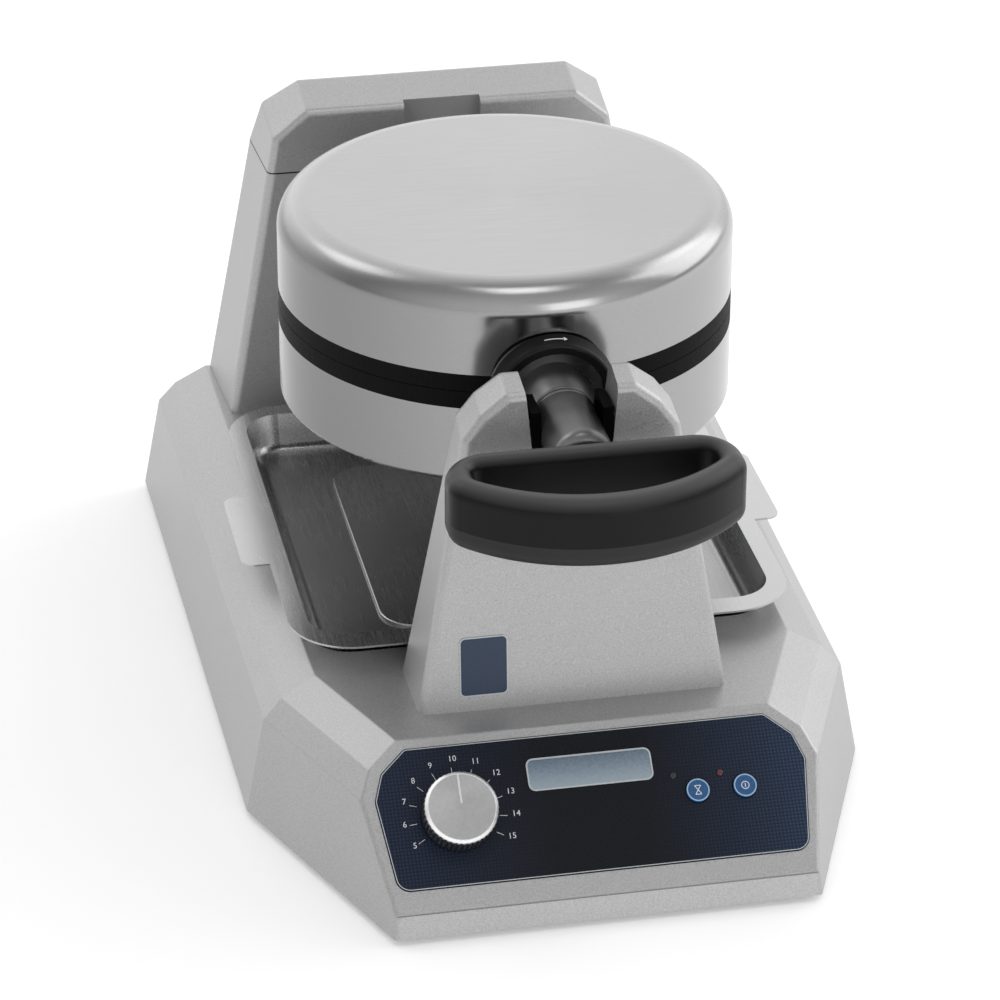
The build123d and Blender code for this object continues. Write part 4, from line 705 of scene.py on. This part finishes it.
def make_button_marks():
    """Pale rings and simple signs on the two buttons: an hourglass, and a ring with a bar."""
    low = panel_face + button_rise + print_lift
    high = low + print_height
    for name, centre in (("start", start_place), ("standby", standby_place)):
        outer, inner = (circle_points(centre, radius) for radius in button_ring_radii)
        flat_ring(f"{name}_ring", panel, outer, inner, low, high, ring_blue, name)

    x, s = start_place
    left = x - hourglass_half_width
    right = x + hourglass_half_width
    bottom = s - hourglass_half_height
    top = s + hourglass_half_height
    hourglass = {
        "top": ((left, top), (right, top)),
        "bottom": ((left, bottom), (right, bottom)),
        "rising": ((left, bottom), (right, top)),
        "falling": ((left, top), (right, bottom)),
    }
    for number, (label, (start, end)) in enumerate(hourglass.items()):
        stroke(f"hourglass_{label}", panel, start, end, hourglass_stroke, low, high + 0.01 * number, "start")

    outer, inner = (circle_points(standby_place, radius) for radius in standby_ring_radii)
    flat_ring("standby_sign_ring", panel, outer, inner, low, high, print_white, "standby")
    x, s = standby_place
    stroke("standby_sign_bar", panel, (x, s - standby_bar_half_height), (x, s + standby_bar_half_height),
           standby_bar_width, low, high, "standby")


# Marks on the cradle, the lock collar and the stem

def make_cradle_badge():
    """Bare navy plate with a thin pale rim, low on the left of the cradle."""
    corner, inner_corner = badge_corners
    outline = rounded_rectangle(badge_box, corner)
    inner = rounded_rectangle(badge_box, inner_corner, badge_rim_width)
    high = print_lift + badge_height
    flat_plate("cradle_badge", cradle_face, outline, print_lift, high, badge_navy, "base")
    flat_ring("cradle_badge_rim", cradle_face, outline, inner, high, high + badge_rim_height, border_light,
              "base")


def collar_strip(name, angles, depth_pairs):
    """Thin printed strip on the collar's cone, between two depths at each angle from its top."""
    vertices = []
    depth0, depth1 = collar_depths
    radius0, radius1 = collar_radii
    for angle, (front, rear) in zip(angles, depth_pairs):
        for depth, lift in ((front, -arrow_lift), (front, arrow_lift), (rear, arrow_lift),
                            (rear, -arrow_lift)):
            radius = radius0 + (radius1 - radius0) * (depth - depth0) / (depth1 - depth0) + lift
            vertices.append(place(radius * sin(angle), depth, axis_rise + radius * cos(angle)))
    faces = [(0, 1, 2, 3)]
    for k in range(len(depth_pairs) - 1):
        for side in range(4):
            following = (side + 1) % 4
            faces.append((4 * k + side, 4 * k + 4 + side, 4 * k + 4 + following, 4 * k + following))
    last = 4 * (len(depth_pairs) - 1)
    faces.append((last + 3, last + 2, last + 1, last))
    return mesh_piece(name, vertices, faces, print_white, "lock_ring")


def make_turn_arrow(steps=16):
    """Arrow on top of the collar that shows which way it turns."""
    shaft = [-arrow_reach + 2 * arrow_reach * k / steps for k in range(steps + 1)]
    shaft_sides = (arrow_depth - arrow_half_width, arrow_depth + arrow_half_width)
    collar_strip("turn_arrow_line", shaft, [shaft_sides] * len(shaft))
    tip = [arrow_reach, arrow_reach + arrow_tip_length]
    halves = (arrow_tip_half_width, arrow_point_half_width)
    collar_strip("turn_arrow_tip", tip, [(arrow_depth - half, arrow_depth + half) for half in halves])


def turned_ring(name, radius, depth, width, height, material, body, steps=96, sides=8):
    """Half-round raised ring about the head's axis, its foot sunk a little under the radius."""
    sunk = 0.1
    rows = sides + 1
    vertices = []
    faces = []
    for k in range(steps):
        angle = 2 * pi * k / steps
        following = (k + 1) % steps
        for m in range(rows):
            around = pi * m / sides
            reach = radius - sunk + height * sin(around)
            along = depth - width / 2 * cos(around)
            vertices.append(place(reach * sin(angle), along, axis_rise + reach * cos(angle)))
            beyond = (m + 1) % rows
            faces.append((k * rows + m, k * rows + beyond, following * rows + beyond, following * rows + m))
    return mesh_piece(name, vertices, faces, material, body, smooth=True)


def make_stem_rings():
    """Two raised rings round the stem, just before its funnel."""
    for number, shift in enumerate(stem_ring_shifts, 1):
        turned_ring(f"stem_ring_{number}", stem_radius, funnel_narrow_depth - shift, stem_ring_width,
                    stem_ring_height, stem_grey, "lid")


make_panel_border()
make_dial()
make_name_plate()
make_button_marks()
make_cradle_badge()
make_turn_arrow()
make_stem_rings()


# Stage, light and camera, in metres

light_aim = Vector((0, 0, 0.12))
light_distance = 2.4
floor_reach = 6.0
floor_color = (0.93, 0.93, 0.93)
floor_glow = 0.2

# How bright the surround is towards each side
surround_sides = {
    "right": ((1, 0, 0), 0.25),
    "left": ((-1, 0, 0), 0.27),
    "back": ((0, 1, 0), 1.21),
    "front": ((0, -1, 0), 0.9),
    "back_left": ((-0.6, 0.35, 0.72), 0.19),
    "back_right": ((0.65, 0.5, 0.57), 0.14),
}

# Soft square lights: bearing from the front towards the right, height, size, power
studio_lights = {
    "key_left": (-125, 48, 1.0, 4.5),
    "rim_right": (100, 30, 2.0, 23.0),
    "front_low": (20, 12, 1.0, 4.6),
    "front_top": (8, 76, 0.8, 5.0),
}

camera_place = Vector((-336.1, -1635.0, 970.8)) * MM
camera_yaw = radians(11.47)
camera_pitch = radians(27.89)
camera_roll = radians(0.26)
camera_focal = 4.238
sensor_width = 36.0


def make_surround():
    """Pale surround whose brightness changes gently with direction."""
    world = bpy.data.worlds.new("studio")
    world.use_nodes = True
    tree = world.node_tree
    background = tree.nodes["Background"]
    background.inputs["Color"].default_value = (1, 1, 1, 1)
    direction = tree.nodes.new("ShaderNodeTexCoord").outputs["Generated"]
    total = None
    for toward, strength in surround_sides.values():
        lobe = tree.nodes.new("ShaderNodeVectorMath")
        lobe.operation = "DOT_PRODUCT"
        tree.links.new(direction, lobe.inputs[0])
        lobe.inputs[1].default_value = Vector(toward).normalized()
        clipped = tree.nodes.new("ShaderNodeMath")
        clipped.operation = "MAXIMUM"
        clipped.inputs[1].default_value = 0.0
        tree.links.new(lobe.outputs["Value"], clipped.inputs[0])
        part = tree.nodes.new("ShaderNodeMath")
        part.operation = "MULTIPLY_ADD"
        tree.links.new(clipped.outputs[0], part.inputs[0])
        part.inputs[1].default_value = strength
        part.inputs[2].default_value = 0.0
        if total is not None:
            tree.links.new(total, part.inputs[2])
        total = part.outputs[0]
    tree.links.new(total, background.inputs["Strength"])
    bpy.context.scene.world = world


def make_floor():
    """Plain pale floor with a faint glow of its own, so that it stays nearly white."""
    mesh = bpy.data.meshes.new("floor")
    corners = [(-floor_reach, -floor_reach, 0), (floor_reach, -floor_reach, 0), (floor_reach, floor_reach, 0),
               (-floor_reach, floor_reach, 0)]
    mesh.from_pydata(corners, [], [(0, 1, 2, 3)])
    look = Shader("floor_pale", floor_color, roughness=0.8)
    look.set("Emission Color", (1, 1, 1, 1))
    look.set("Emission Strength", floor_glow)
    mesh.materials.append(look.material)
    in_scene("floor", mesh)


def make_lights():
    """Square area lights at the same distance, all aimed at the object's middle."""
    for name, (bearing, height, size, power) in studio_lights.items():
        bearing = radians(bearing)
        height = radians(height)
        flat = light_distance * cos(height)
        offset = Vector((flat * sin(bearing), -flat * cos(bearing), light_distance * sin(height)))
        light = bpy.data.lights.new("light_" + name, "AREA")
        light.size = size
        light.energy = power
        lamp = in_scene("light_" + name, light)
        lamp.location = light_aim + offset
        lamp.rotation_mode = "QUATERNION"
        lamp.rotation_quaternion = (-offset).to_track_quat("-Z", "Y")


def make_stage():
    """Pale floor, a soft pale surround and soft lights."""
    bpy.context.scene.view_settings.view_transform = "Standard"
    make_floor()
    make_surround()
    make_lights()


def make_camera():
    """Camera at the photograph's viewing angle."""
    data = bpy.data.cameras.new("photo_camera")
    data.sensor_width = sensor_width
    data.lens = camera_focal * sensor_width
    data.clip_start = 0.05
    data.clip_end = 50
    camera = in_scene("photo_camera", data)
    level = cos(camera_pitch)
    forward = Vector((sin(camera_yaw) * level, cos(camera_yaw) * level, -sin(camera_pitch)))
    right = Vector((cos(camera_yaw), -sin(camera_yaw), 0))
    above = right.cross(forward)
    turned_right = right * cos(camera_roll) + above * sin(camera_roll)
    turned_above = above * cos(camera_roll) - right * sin(camera_roll)
    basis = Matrix((turned_right, turned_above, -forward)).transposed().to_4x4()
    camera.matrix_world = Matrix.Translation(camera_place) @ basis
    bpy.context.scene.camera = camera


make_stage()
make_camera()

bpy.context.view_layer.update()
